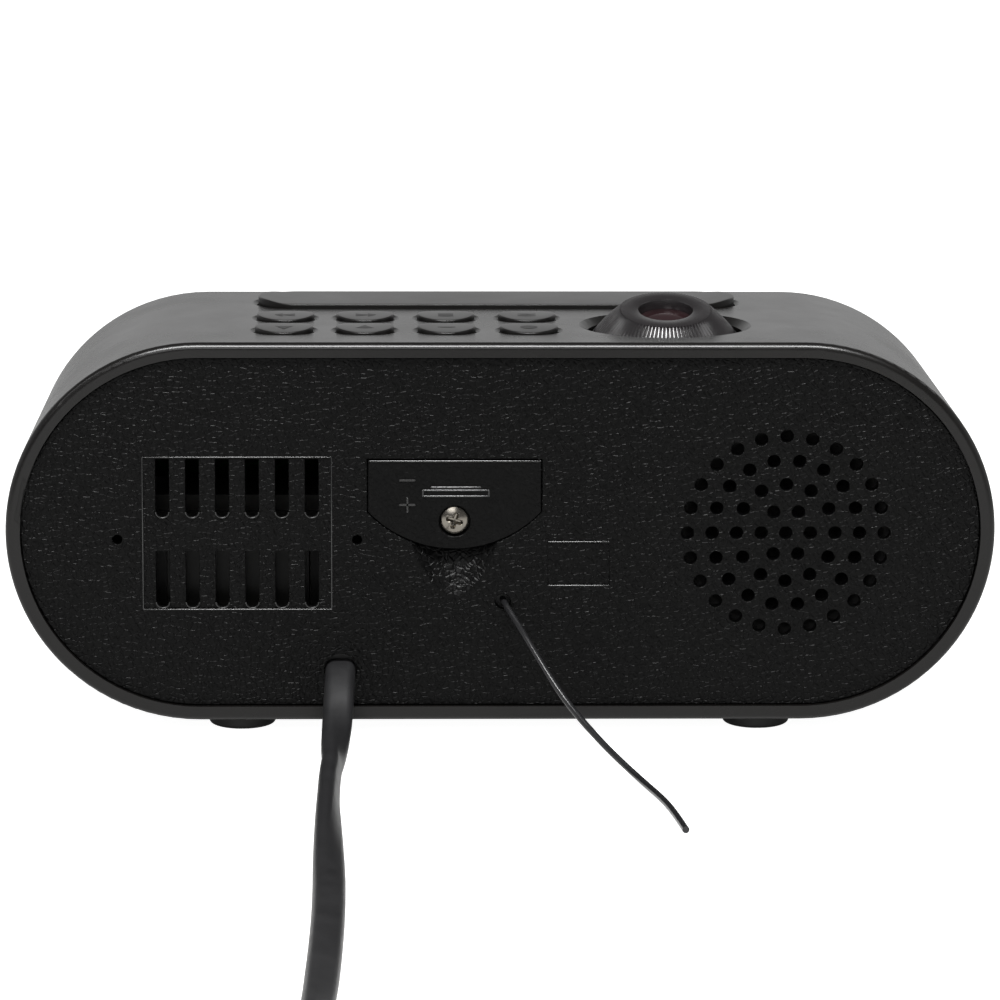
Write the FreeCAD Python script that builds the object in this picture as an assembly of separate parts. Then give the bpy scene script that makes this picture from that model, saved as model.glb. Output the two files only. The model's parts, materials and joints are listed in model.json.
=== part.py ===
import FreeCAD, Part
import math
import os

from FreeCAD import Vector

# Projection alarm clock: a stadium-shaped housing lying on its long side, keys and a tilting
# projector on top, a display window in front and a snap-in rear panel with the battery drawer.
# Millimetres. X runs along the clock, -Y is the display side, +Y the rear, Z is up.
# The origin is on the surface, under the middle of the housing.

os.makedirs("parts", exist_ok=True)

# Housing
body_width = 190.0
body_height = 74.0
body_depth = 70.0
foot_height = 2.6
shell_wall = 2.85
shell_taper = 1.5
front_fillet = 2.0
rear_fillet = 1.4
seam = 0.2

rear_y = body_depth / 2
front_y = -rear_y
middle_z = foot_height + body_height / 2

# Window and rear panel seats
window_thickness = 2.5
ledge_width = 1.4
ledge_depth = 1.8
panel_inset = 1.0
panel_thickness = 2.4
window_back = front_y + window_thickness
panel_face = rear_y - panel_inset
panel_back = panel_face - panel_thickness
hook_spacing = body_width / 2 - 37.0
hook_width = 9.0
hook_thickness = 1.8
hook_lip = 0.9
hook_length = 2.0
hook_root = 0.5

# Keys
key_columns = (41.74, 26.14, 10.34, -5.56)
key_rows = (rear_y - 16.6, rear_y - 32.5)
key_radius = 5.6
key_gap = 0.25
key_proud = 1.0
key_travel = 0.6
key_flange = 0.8
key_flange_thickness = 1.0
key_stem_radius = 1.6
dish_width = 0.8
dish_depth = 0.6
under_gap = 0.2

# Snooze bar
bar_length = 95.2
bar_depth = 16.0
bar_x = -0.06
bar_y = front_y + 16.65
bar_gap = 0.35
bar_proud = 1.0
bar_travel = 0.9
bar_stems = (-30.0, 30.0)

# Projector
projector_x = -32.27
opening_radius = 15.25
opening_dish = 1.5
ball_radius = 15.0
ball_wall = 1.6
pivot_drop = 6.5
head_tilt = 13.0
ring_base = 4.2
ring_height = 5.95
ring_base_radius = 14.3
ring_top_radius = 9.15
ring_gap = 0.15
knurl_count = 76
knurl_depth = 0.35
collar_radius = 11.0
collar_height = 2.0
well_radius = 5.25
well_depth = 1.7
lens_thickness = 2.2
barrel_wall = 1.3
barrel_drop = 3.4
pin_radius = 1.3
cradle_clear = 0.6
cradle_wall = 2.3
cradle_height = 3.8
cradle_rear_gap = 2.5
projector_y = panel_back - cradle_rear_gap - cradle_wall - cradle_clear - ball_radius
lug_reach = 5.6
lug_width = 8.0
lug_thickness = 2.0
lug_drop = 1.0
trunnion_clear = 0.08
wire_hole_radius = 3.0
lamp_board_drop = 8.0
lamp_radius = 3.5
lamp_height = 4.9
slide_width = 8.4
slide_depth = 6.8
slide_thickness = 1.1
stalk_radius = 2.0
board_thickness = 1.6

# Key board
key_board_top = middle_z + body_height / 2 - 10.6
key_board_x = (-14.5, 52.0)
key_board_y = (bar_y - 8.9, panel_back - 1.6)
key_strip_x = -47.0
key_strip_y = projector_y - ball_radius - 1.2
switch_side = 6.0
switch_height = 3.5
plunger_height = 0.8
plunger_radius = 1.7
touch_gap = 0.1
post_radius = 2.3
rear_post_y = key_rows[0] + 6.6
front_post_y = bar_y + bar_depth / 2 + key_flange + post_radius + 0.9
key_posts = ((49.6, rear_post_y), (-12.2, rear_post_y),
             (49.6, front_post_y), (-11.6, front_post_y), (-43.5, key_strip_y - 2.6))

# Display and main board
main_board_width = body_width - 52.0
main_board_bottom = foot_height + 7.9
main_board_top = key_board_top - board_thickness - 0.6
boss_radius = 3.6
boss_inset = 5.0
rib_thickness = 2.0
module_width = main_board_width - 2 * (boss_inset + boss_radius + 0.6)
module_height = 44.0
module_front_gap = 0.5
module_thickness = 10.0
digit_width = 17.0
digit_height = 31.0
digit_pitch = 25.5
segment_width = 3.4
segment_thickness = 0.3
digit_places = (-1.55, -0.55, 0.55, 1.55)
chips = ((-14.0, 38.0, 16.0, 16.0, 2.4), (17.0, 25.0, 18.0, 10.0, 3.0), (-46.0, 49.0, 12.0, 10.0, 4.0))
capacitors = ((38.0, 22.0), (48.0, 22.0), (38.0, 34.0), (-34.0, 22.0))
capacitor_radius = 4.0
capacitor_length = 11.0

# Rear panel features, seen from behind
vent_x = body_width / 2 - 44.4
vent_z = middle_z - 0.12
vent_width = 36.0
vent_height = 29.8
vent_count = 6
vent_pitch = 5.72
slot_width = 2.6
upper_slot = (vent_z + 3.0, vent_z + 14.4)
lower_slot = (vent_z - 14.7, vent_z - 3.6)
shallow = 0.3
pin_holes = ((vent_x + 22.97, middle_z - 1.4), (vent_x - 22.97, middle_z - 1.5))
pin_hole_radius = 0.95
plate_box = (-20.9, -9.0, middle_z - 10.45, middle_z - 1.95)

door_x = 8.93
door_width = 33.1
door_top = middle_z + 14.1
door_shoulder = door_top - 10.1
door_bottom = door_top - 17.3
door_gap = 0.25
door_thickness = 1.4
backing_thickness = 2.0
backing_edge = 1.2
tray_width = 24.8
tray_bottom = door_top - 8.3
tray_height = 5.8
tray_length = 24.2
sleeve_wall = 1.4
sleeve_gap = 0.3
cell_radius = 10.0
cell_height = 3.2
cell_setback = 13.0
leaf_width = 5.0
leaf_thickness = 0.3
leaf_end_gap = 0.5
door_screw_z = door_top - 11.9
screw_boss_radius = 3.0
screw_boss_length = 10.5
screw_well_radius = 3.05
screw_well_depth = 1.8

scoop_tip = door_bottom - 9.0
scoop_top = door_bottom + 2.0
scoop_radius = 11.7
scoop_lean = 20.0
scoop_wall = 1.2

# Speaker
speaker_x = 40.3 - body_width / 2
speaker_z = middle_z - 0.15
grille_rings = 4
grille_pitch = 4.73
grille_hole = 1.25
speaker_radius = 25.0
speaker_depth = 14.0
magnet_radius = 13.0
magnet_height = 7.0
speaker_rim = 2.0
speaker_post_angles = (0, 120, 240)
speaker_seat_wall = 1.4
speaker_clear = 0.3
washer_radius = 3.8
washer_thickness = 1.0
pole_radius = 4.6
pole_height = 4.2
flange_width = 4.0
basket_wall = 1.4

# Transformer
core_x = vent_x
core_z = middle_z - 12.1
core_width = 41.0
core_height = 34.0
core_stack = 18.0
core_y = panel_back - 9.6
leg_half = 7.0
window_half = 13.8
window_height = 20.8
coil_bulge = 4.6
strap_thickness = 1.2
lug_offset = 24.4

# Cords
cord_x = 30.83
cord_z = 12.53
cord_start = panel_back + 0.7
cord_hole_radius = 3.15
cord_diameter = 5.8
antenna_x = -0.4
antenna_z = 25.95
antenna_hole_radius = 1.5
wire_diameter = 1.3
coil_inner = 23.0
coil_outer = 43.0
coil_height = 12.2
coil_bite = 2.0
plug_reach = 30.0
plug_neck = 12.0
plug_shoulder = 10.0
plug_length = 30.0
plug_width = 35.0
plug_thickness = 13.6
plug_pin_radius = 2.0
plug_pin_length = 19.0
pin_spacing = 18.6

# Feet
foot_radius = 6.5
foot_x = body_width / 2 - 45.0
foot_y = body_depth / 2 - 10.0
foot_seat = 4.5

# Small screws
screw_radius = 1.2
screw_head_radius = 2.6
screw_head_height = 1.6
screw_bore = 1.25
board_screw_length = 6.0
key_screw_length = 5.5
lug_screw_length = 4.0
drawer_screw_length = 7.0
speaker_screw_length = 3.6
strap_screw_length = 7.0
screw_clear = 0.2


# One STEP file for each piece
def save(name, shape):
    if shape.ShapeType != "Compound" and len(shape.Solids) == 1:
        shape = shape.Solids[0]
    shape.exportStep("parts/" + name + ".step")
    print(name, len(shape.Solids), round(shape.Volume, 1), shape.isValid())


def fuse(first, *others):
    whole = first.multiFuse(list(others)) if others else first
    return whole.removeSplitter()


def group(solids):
    return Part.makeCompound(solids)


def box(x0, x1, y0, y1, z0, z1):
    return Part.makeBox(x1 - x0, y1 - y0, z1 - z0, Vector(x0, y0, z0))


def rod_y(x, z, radius, y0, y1):
    return Part.makeCylinder(radius, y1 - y0, Vector(x, y0, z), Vector(0, 1, 0))


def rod_z(x, y, radius, z0, z1):
    return Part.makeCylinder(radius, z1 - z0, Vector(x, y, z0), Vector(0, 0, 1))


def rod_x(y, z, radius, x0, x1):
    return Part.makeCylinder(radius, x1 - x0, Vector(x0, y, z), Vector(1, 0, 0))


def half_rounds(width, height, place):
    """A closed outline of two straight sides and two half rounds, each point put in space by place."""
    radius = height / 2
    reach = width / 2 - radius
    lower = [place(-reach, -radius), place(reach, -radius)]
    upper = [place(reach, radius), place(-reach, radius)]
    right = Part.Arc(lower[1], place(reach + radius, 0), upper[0]).toShape()
    left = Part.Arc(upper[1], place(-reach - radius, 0), lower[0]).toShape()
    sides = [Part.makeLine(*lower), right, Part.makeLine(*upper), left]
    return Part.Wire(sides)


def stadium(width, height, y):
    return half_rounds(width, height, lambda a, b: Vector(a, y, middle_z + b))


def stadium_plate(width, height, y0, y1):
    return Part.Face(stadium(width, height, y0)).extrude(Vector(0, y1 - y0, 0))


def capsule_plate(x, y, length, depth, z0, z1):
    outline = half_rounds(length, depth, lambda a, b: Vector(x + a, y + b, z0))
    return Part.Face(outline).extrude(Vector(0, 0, z1 - z0))


def taper_at(y):
    return shell_taper * (rear_y - y) / body_depth


def top_at(y):
    return middle_z + body_height / 2 - taper_at(y)


def tapered_body(inset, y0, y1):
    """The housing's form between two depths, all round smaller by inset."""
    ends = []
    for y in (y0, y1):
        small = 2 * (inset + taper_at(y))
        ends.append(stadium(body_width - small, body_height - small, y))
    return Part.makeLoft(ends, True, True)


def edges_at(shape, y):
    return [e for e in shape.Edges if all(abs(v.Y - y) < 0.01 for v in e.Vertexes)]


def ring_ledge(y0, y1, at_y):
    small = 2 * (shell_wall + taper_at(at_y))
    wide = stadium_plate(body_width - small + 2, body_height - small + 2, y0, y1)
    inner_width = body_width - small - 2 * ledge_width
    inner_height = body_height - small - 2 * ledge_width
    return wide.cut(stadium_plate(inner_width, inner_height, y0, y1))


def window_size():
    small = 2 * (shell_wall + taper_at(front_y))
    return body_width - small, body_height - small


def panel_size():
    return body_width - 2 * shell_wall, body_height - 2 * shell_wall


def screw(x, y, z, direction, length):
    """A pan-head screw whose head sits on the point and whose shank runs along direction."""
    way = Vector(*direction)
    seat = Vector(x, y, z)
    head = Part.makeCylinder(screw_head_radius, screw_head_height, seat - way * screw_head_height, way)
    shank = Part.makeCylinder(screw_radius, length, seat, way)
    return fuse(head, shank)


# Places on the housing's top
def key_places():
    return [(x, y) for y in key_rows for x in key_columns]


def pivot_point():
    return Vector(projector_x, projector_y, top_at(projector_y) - pivot_drop)


def cradle_outer():
    return ball_radius + cradle_clear + cradle_wall


def lug_places():
    reach = cradle_outer() + lug_reach / 2
    return [(projector_x + side * reach, projector_y) for side in (-1, 1)]


def lug_top():
    return pivot_point().z + cradle_height / 2 - lug_drop


def foot_places():
    return [(sx * foot_x, sy * foot_y) for sx in (-1, 1) for sy in (-1, 1)]


# Places inside
def module_front():
    return window_back + module_front_gap


def main_board_front():
    return module_front() + module_thickness


def boss_places():
    x = main_board_width / 2 - boss_inset
    return [(sx * x, z) for sx in (-1, 1) for z in (main_board_bottom + boss_inset,
                                                    main_board_top - boss_inset)]


# Outer shell: a moulded sleeve, open in front and behind
def outer_shell():
    outside = tapered_body(0.0, front_y, rear_y)
    outside = outside.makeFillet(rear_fillet, edges_at(outside, rear_y))
    outside = outside.makeFillet(front_fillet, edges_at(outside, front_y))
    shell = outside.cut(tapered_body(shell_wall, front_y - 1, rear_y + 1))
    front_ledge = ring_ledge(window_back, window_back + ledge_depth, window_back)
    rear_ledge = ring_ledge(panel_back - ledge_depth, panel_back, panel_back)
    solids = [front_ledge, rear_ledge]
    for x, z in boss_places():
        away = 1 if z > middle_z else -1
        wall = middle_z + away * (body_height / 2 - shell_taper - shell_wall / 2)
        solids.append(rod_y(x, z, boss_radius, window_back + ledge_depth / 2, main_board_front()))
        solids.append(box(x - rib_thickness / 2, x + rib_thickness / 2,
                          window_back + ledge_depth / 2, main_board_front(), min(z, wall), max(z, wall)))
    for x, y in key_posts:
        solids.append(rod_z(x, y, post_radius, key_board_top, top_at(y) - shell_wall / 2))
    for x, y in lug_places():
        solids.append(rod_z(x, y, post_radius, lug_top(), top_at(y) - shell_wall / 2))
    shell = fuse(shell, *solids)
    cuts = [stadium_plate(*window_size(), front_y - 1, window_back),
            stadium_plate(*panel_size(), panel_back, rear_y + 1)]
    for x, y in key_places():
        surface = top_at(y)
        hole = key_radius + key_gap
        cuts.append(rod_z(x, y, hole, surface - 2 * shell_wall, surface + 1))
        cuts.append(Part.makeCone(hole, hole + 2 * dish_width, 2 * dish_depth,
                                  Vector(x, y, surface - dish_depth)))
    slot_length = bar_length + 2 * bar_gap
    slot_depth = bar_depth + 2 * bar_gap
    surface = top_at(bar_y)
    cuts.append(capsule_plate(bar_x, bar_y, slot_length, slot_depth, surface - 2 * shell_wall, surface + 2))
    low = half_rounds(slot_length, slot_depth,
                      lambda a, b: Vector(bar_x + a, bar_y + b, surface - dish_depth))
    high = half_rounds(slot_length + 4 * dish_width, slot_depth + 4 * dish_width,
                       lambda a, b: Vector(bar_x + a, bar_y + b, surface + dish_depth))
    cuts.append(Part.makeLoft([low, high], True, True))
    surface = top_at(projector_y)
    cuts.append(rod_z(projector_x, projector_y, opening_radius, surface - 2 * shell_wall, surface + 2))
    cuts.append(Part.makeCone(opening_radius, opening_radius + 2 * opening_dish, 2 * opening_dish,
                              Vector(projector_x, projector_y, surface - opening_dish)))
    for x, y in foot_places():
        cuts.append(rod_z(x, y, foot_radius + seam, -1, foot_seat))
    for x, z in boss_places():
        cuts.append(rod_y(x, z, screw_bore, main_board_front() - board_screw_length, main_board_front() + 1))
    for x, y in key_posts:
        cuts.append(rod_z(x, y, screw_bore, key_board_top - 1, key_board_top + key_screw_length))
    for x, y in lug_places():
        cuts.append(rod_z(x, y, screw_bore, lug_top() - 1, lug_top() + lug_screw_length - lug_thickness + 0.5))
    return shell.cut(cuts)


# Display window: smoked acrylic, glued on the front ledge
def display_window():
    width, height = window_size()
    plate = stadium_plate(width - 2 * seam, height - 2 * seam, front_y, window_back)
    return plate.makeChamfer(0.3, edges_at(plate, front_y))


# Display module: the light box behind the window, and its digit segments
def display_module():
    half_height = module_height / 2
    front = module_front()
    return box(-module_width / 2, module_width / 2, front, front + module_thickness,
               middle_z - half_height, middle_z + half_height)


def digit_segments():
    """Four seven-segment digits and a colon, as thin translucent bars on the light box."""
    front = module_front() - segment_thickness
    back = module_front()
    bars = []
    long_bar = digit_height / 2 - segment_width
    cross = digit_width - segment_width
    for place in digit_places:
        x = place * digit_pitch
        for z in (-digit_height / 2, 0, digit_height / 2):
            bars.append((x, middle_z + z * (1 - segment_width / digit_height), cross - 1.0, segment_width))
        for side in (-1, 1):
            for level in (-1, 1):
                bars.append((x + side * cross / 2, middle_z + level * (long_bar + segment_width) / 2,
                             segment_width, long_bar - 0.6))
    solids = []
    for x, z, width, height in bars:
        if width > height:
            width = width - segment_width
        solids.append(box(x - width / 2, x + width / 2, front, back, z - height / 2, z + height / 2))
    for level in (-1, 1):
        solids.append(rod_y(0, middle_z + level * digit_height / 5, segment_width / 2, front, back))
    return group(solids)


# Main board, its screws and the parts on it
def main_board():
    front = main_board_front()
    plate = box(-main_board_width / 2, main_board_width / 2, front, front + board_thickness,
                main_board_bottom, main_board_top)
    return plate.cut([rod_y(x, z, screw_radius + screw_clear, front - 1, front + board_thickness + 1)
                      for x, z in boss_places()])


def main_board_screws():
    y = main_board_front() + board_thickness
    return group([screw(x, y, z, (0, -1, 0), board_screw_length) for x, z in boss_places()])


def board_parts():
    y = main_board_front() + board_thickness
    blocks = [box(x - wide / 2, x + wide / 2, y, y + thick, z - tall / 2, z + tall / 2)
              for x, z, wide, tall, thick in chips]
    cans = [rod_y(x, z, capacitor_radius, y, y + capacitor_length) for x, z in capacitors]
    return group(blocks + cans)


# Key board: hangs on five posts under the top
def key_board():
    bottom = key_board_top - board_thickness
    plate = fuse(box(key_board_x[0], key_board_x[1], key_board_y[0], key_board_y[1], bottom, key_board_top),
                 box(key_strip_x, key_board_x[0] + 1, key_board_y[0], key_strip_y, bottom, key_board_top))
    return plate.cut([rod_z(x, y, screw_radius + screw_clear, bottom - 1, key_board_top + 1)
                      for x, y in key_posts])


def key_board_screws():
    bottom = key_board_top - board_thickness
    return group([screw(x, y, bottom, (0, 0, 1), key_screw_length) for x, y in key_posts])


def plunger_top():
    return key_board_top + switch_height + plunger_height


def tact_switches():
    places = key_places() + [(bar_x + x, bar_y) for x in bar_stems]
    half = switch_side / 2
    solids = []
    for x, y in places:
        case = box(x - half, x + half, y - half, y + half, key_board_top, key_board_top + switch_height)
        solids.append(fuse(case, rod_z(x, y, plunger_radius, key_board_top, plunger_top())))
    return group(solids)


# Keys: each a cap with a flange that stops it under the shell and a stem over its switch
def key(x, y):
    surface = top_at(y)
    under = surface - shell_wall - under_gap
    cap = rod_z(x, y, key_radius, under - key_flange_thickness, surface + key_proud)
    top_edge = [e for e in cap.Edges if all(abs(v.Z - surface - key_proud) < 0.01 for v in e.Vertexes)]
    cap = cap.makeFillet(0.7, top_edge)
    flange = rod_z(x, y, key_radius + key_flange, under - key_flange_thickness, under)
    stem = rod_z(x, y, key_stem_radius, plunger_top() + key_travel + touch_gap, under)
    return fuse(cap, flange, stem)


# Snooze bar: a long cap over two switches
def snooze_bar():
    surface = top_at(bar_y)
    under = top_at(bar_y - bar_depth / 2 - key_flange) - shell_wall - under_gap
    top = surface + bar_proud
    cap = capsule_plate(bar_x, bar_y, bar_length, bar_depth, under - key_flange_thickness, top)
    cap = cap.makeFillet(0.8, [e for e in cap.Edges if all(abs(v.Z - top) < 0.01 for v in e.Vertexes)])
    flange = capsule_plate(bar_x, bar_y, bar_length + 2 * key_flange, bar_depth + 2 * key_flange,
                           under - key_flange_thickness, under)
    foot = plunger_top() + bar_travel + touch_gap
    stems = [rod_z(bar_x + x, bar_y, key_stem_radius, min(foot, under - 0.1), under) for x in bar_stems]
    return fuse(cap, flange, *stems)


# Projector: modelled upright with its pivot at the origin, then tilted and set in place
def set_head(shape):
    shape = shape.copy()
    shape.rotate(Vector(0, 0, 0), Vector(1, 0, 0), -head_tilt)
    shape.translate(pivot_point())
    return shape


def turned(points):
    """A solid of revolution about Z from (radius, height) points."""
    corners = [Vector(r, 0, z) for r, z in points]
    face = Part.Face(Part.makePolygon(corners + corners[:1]))
    return face.revolve(Vector(0, 0, 0), Vector(0, 0, 1), 360)


def projector_ball():
    ball = Part.makeSphere(ball_radius).cut(Part.makeSphere(ball_radius - ball_wall))
    seat = ring_base - ring_gap
    ball = ball.cut(rod_z(0, 0, ball_radius + 1, seat, ball_radius + 1))
    flat = rod_z(0, 0, ball_radius - ball_wall / 2, seat - ball_wall, seat)
    flat = flat.common(Part.makeSphere(ball_radius))
    collar = rod_z(0, 0, collar_radius, seat - ball_wall, seat + collar_height)
    bore = rod_z(0, 0, collar_radius - ball_wall, -ball_radius, seat + collar_height + 1)
    top = fuse(flat, collar).cut(bore)
    wire_hole = rod_z(0, 0, wire_hole_radius, -ball_radius - 1, ball_wall - ball_radius / 2)
    reach = cradle_outer() - ring_gap
    root = ball_radius - ball_wall / 2
    pins = [rod_x(0, 0, pin_radius, root, reach), rod_x(0, 0, pin_radius, -reach, -root)]
    ball = fuse(ball, top).cut(wire_hole)
    return set_head(fuse(ball, *pins))


def knurled_cone():
    """A bevelled ring whose flank is a star of fine ridges, from base to face."""
    rings = []
    for z, radius in ((ring_base, ring_base_radius), (ring_base + ring_height, ring_top_radius)):
        corners = []
        for i in range(2 * knurl_count):
            angle = math.pi * i / knurl_count
            here = radius - (knurl_depth if i % 2 else 0.0)
            corners.append(Vector(here * math.cos(angle), here * math.sin(angle), z))
        rings.append(Part.makePolygon(corners + corners[:1]))
    return Part.makeLoft(rings, True, True)


def barrel_bottom():
    return ring_base + ring_height - well_depth - lens_thickness - barrel_drop


def focus_ring():
    face = ring_base + ring_height
    lens_top = face - well_depth
    cone = knurled_cone()
    skirt_bore = collar_radius + ring_gap
    inner_top = ring_base - ring_gap + collar_height + 2 * ring_gap
    cone = cone.cut(rod_z(0, 0, skirt_bore, ring_base - 1, inner_top))
    barrel = rod_z(0, 0, well_radius + barrel_wall, barrel_bottom(), face - 0.5)
    ring = fuse(cone, barrel)
    ledge = lens_top - lens_thickness
    ring = ring.cut([rod_z(0, 0, well_radius, ledge, face + 1),
                     rod_z(0, 0, well_radius - 0.8, barrel_bottom() - 1, face)])
    return set_head(ring)


def projector_lens():
    top = ring_base + ring_height - well_depth
    disc = rod_z(0, 0, well_radius - 0.05, top - lens_thickness, top - 0.8)
    dome_radius = (well_radius ** 2 + 0.8 ** 2) / (2 * 0.8)
    dome = Part.makeSphere(dome_radius, Vector(0, 0, top - dome_radius))
    dome = dome.common(rod_z(0, 0, well_radius - 0.05, top - 0.9, top + 1))
    return set_head(fuse(disc, dome))


def projector_lamp():
    """The lamp board with its light unit and the digit slide, held inside the ball."""
    floor = ball_wall - ball_radius
    board_z = -lamp_board_drop
    board_radius = math.sqrt((ball_radius - ball_wall) ** 2 - board_z ** 2)
    board = rod_z(0, 0, board_radius, board_z, board_z + board_thickness)
    light_top = board_z + board_thickness + lamp_height
    light = rod_z(0, 0, lamp_radius, board_z + board_thickness, light_top)
    slide = box(-slide_width / 2, slide_width / 2, -slide_depth / 2, slide_depth / 2,
                light_top, light_top + slide_thickness)
    stalk = rod_z(0, 0, stalk_radius, floor + 1.2, board_z)
    return set_head(fuse(board, light, slide, stalk))


def projector_cradle():
    pivot = pivot_point()
    half = cradle_height / 2
    inner = ball_radius + cradle_clear
    ring = rod_z(pivot.x, pivot.y, cradle_outer(), pivot.z - half, pivot.z + half)
    lugs = box(pivot.x - cradle_outer() - lug_reach, pivot.x + cradle_outer() + lug_reach,
               pivot.y - lug_width / 2, pivot.y + lug_width / 2, lug_top() - lug_thickness, lug_top())
    ring = fuse(ring, lugs)
    cuts = [rod_z(pivot.x, pivot.y, inner, pivot.z - half - 1, pivot.z + half + 1),
            rod_x(pivot.y, pivot.z, pin_radius + trunnion_clear, pivot.x - cradle_outer() - 1,
                  pivot.x + cradle_outer() + 1)]
    cuts += [rod_z(x, y, screw_radius + screw_clear, pivot.z - cradle_height, pivot.z + cradle_height)
             for x, y in lug_places()]
    return ring.cut(cuts)


def cradle_screws():
    z = lug_top() - lug_thickness
    return group([screw(x, y, z, (0, 0, 1), lug_screw_length) for x, y in lug_places()])


# Battery drawer in the rear panel
def door_plate(grow, y0, y1):
    half = door_width / 2 + grow
    top = door_top + grow
    bottom = door_bottom - grow
    a = Vector(door_x - half, y0, door_shoulder)
    b = Vector(door_x - half, y0, top)
    c = Vector(door_x + half, y0, top)
    d = Vector(door_x + half, y0, door_shoulder)
    arc = Part.Arc(d, Vector(door_x, y0, bottom), a).toShape()
    outline = Part.Wire([Part.makeLine(a, b), Part.makeLine(b, c), Part.makeLine(c, d), arc])
    return Part.Face(outline).extrude(Vector(0, y1 - y0, 0))


def door_back():
    return panel_face - door_thickness


def backing_front():
    return door_back() - touch_gap


def tray_box(grow, y0, y1):
    half = tray_width / 2 + grow
    return box(door_x - half, door_x + half, y0, y1, tray_bottom - grow, tray_bottom + tray_height + grow)


def sleeve_end():
    return door_back() - tray_length - sleeve_gap


def battery_drawer():
    door = door_plate(0.0, door_back(), panel_face)
    boss = rod_y(door_x, door_screw_z, screw_well_radius + 1.0, door_back() - 1.2, door_back() + 0.2)
    tray = tray_box(0.0, door_back() - tray_length, door_back() + 0.2)
    drawer = fuse(door, boss, tray)
    floor = cell_floor()
    pocket = rod_z(door_x, cell_middle(), cell_radius + 0.2, floor, floor + 20)
    slot = leaf_width / 2 + 0.5
    low_slot = box(door_x - slot, door_x + slot, door_back() - tray_length - 1, cell_middle(), tray_bottom - 1, floor)
    high_slot = box(door_x - slot, door_x + slot, door_back() - tray_length - 1, cell_middle(),
                    floor, tray_bottom + tray_height + 1)
    well = rod_y(door_x, door_screw_z, screw_well_radius, panel_face - screw_well_depth, panel_face + 1)
    bore = rod_y(door_x, door_screw_z, screw_radius + 0.1, door_back() - screw_boss_length, panel_face)
    return drawer.cut([pocket, low_slot, high_slot, well, bore])


def cell_middle():
    return door_back() - cell_setback


def cell_floor():
    return tray_bottom + sleeve_wall


def coin_cell():
    return rod_z(door_x, cell_middle(), cell_radius, cell_floor(), cell_floor() + cell_height)


def drawer_screw():
    return screw(door_x, panel_face - screw_well_depth, door_screw_z, (0, -1, 0), drawer_screw_length)


def cell_contacts():
    y0 = sleeve_end()
    low = cell_floor() - touch_gap
    high = cell_floor() + cell_height + touch_gap
    half = leaf_width / 2
    end = cell_middle() - leaf_end_gap
    return group([box(door_x - half, door_x + half, y0, end, low - leaf_thickness, low),
                  box(door_x - half, door_x + half, y0, end, high, high + leaf_thickness)])


def scoop(grow, front):
    """A finger hollow cut by a leaning round cutter: its outline is a U, and it deepens upwards."""
    lean = math.radians(scoop_lean)
    way = Vector(0, -math.sin(lean), math.cos(lean))
    outward = Vector(0, math.cos(lean), math.sin(lean))
    start = Vector(door_x, panel_face, scoop_tip) + outward * scoop_radius - way * scoop_radius
    cutter = Part.makeCylinder(scoop_radius + grow, 4 * scoop_radius, start, way)
    reach = 2 * scoop_radius
    return cutter.common(box(door_x - reach, door_x + reach, 0, front, scoop_tip - reach, scoop_top + grow))


# Rear panel: snaps into the shell and carries the drawer sleeve, the speaker and the transformer
def snap_hooks():
    """Hooks that pass inside the rear ledge and catch behind it."""
    small = 2 * (shell_wall + taper_at(panel_back) + ledge_width)
    inside = (body_height - small) / 2 - seam
    hooks = []
    for side in (-1, 1):
        for x in (-hook_spacing, 0, hook_spacing):
            outer = middle_z + side * inside
            inner = outer - side * hook_thickness
            lip = outer + side * hook_lip
            back = panel_back - ledge_depth - seam
            hooks.append(box(x - hook_width / 2, x + hook_width / 2, back - hook_length,
                             panel_back + hook_root,
                             min(inner, outer), max(inner, outer)))
            hooks.append(box(x - hook_width / 2, x + hook_width / 2, back - hook_length, back,
                             min(inner, lip), max(inner, lip)))
    return hooks


def grille_places():
    places = [(speaker_x, speaker_z)]
    for ring in range(1, grille_rings + 1):
        for i in range(6 * ring):
            angle = 2 * math.pi * i / (6 * ring)
            places.append((speaker_x + ring * grille_pitch * math.cos(angle),
                           speaker_z + ring * grille_pitch * math.sin(angle)))
    return places


def vent_slot(x, z0, z1):
    half = slot_width / 2
    y0 = panel_back - 1
    return fuse(box(x - half, x + half, y0, panel_face + 1, z0 + half, z1),
                rod_y(x, z0 + half, half, y0, panel_face + 1))


def speaker_post_places():
    reach = speaker_radius + speaker_clear + post_radius + seam
    return [(speaker_x + reach * math.cos(math.radians(a)), speaker_z + reach * math.sin(math.radians(a)))
            for a in speaker_post_angles]


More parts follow.
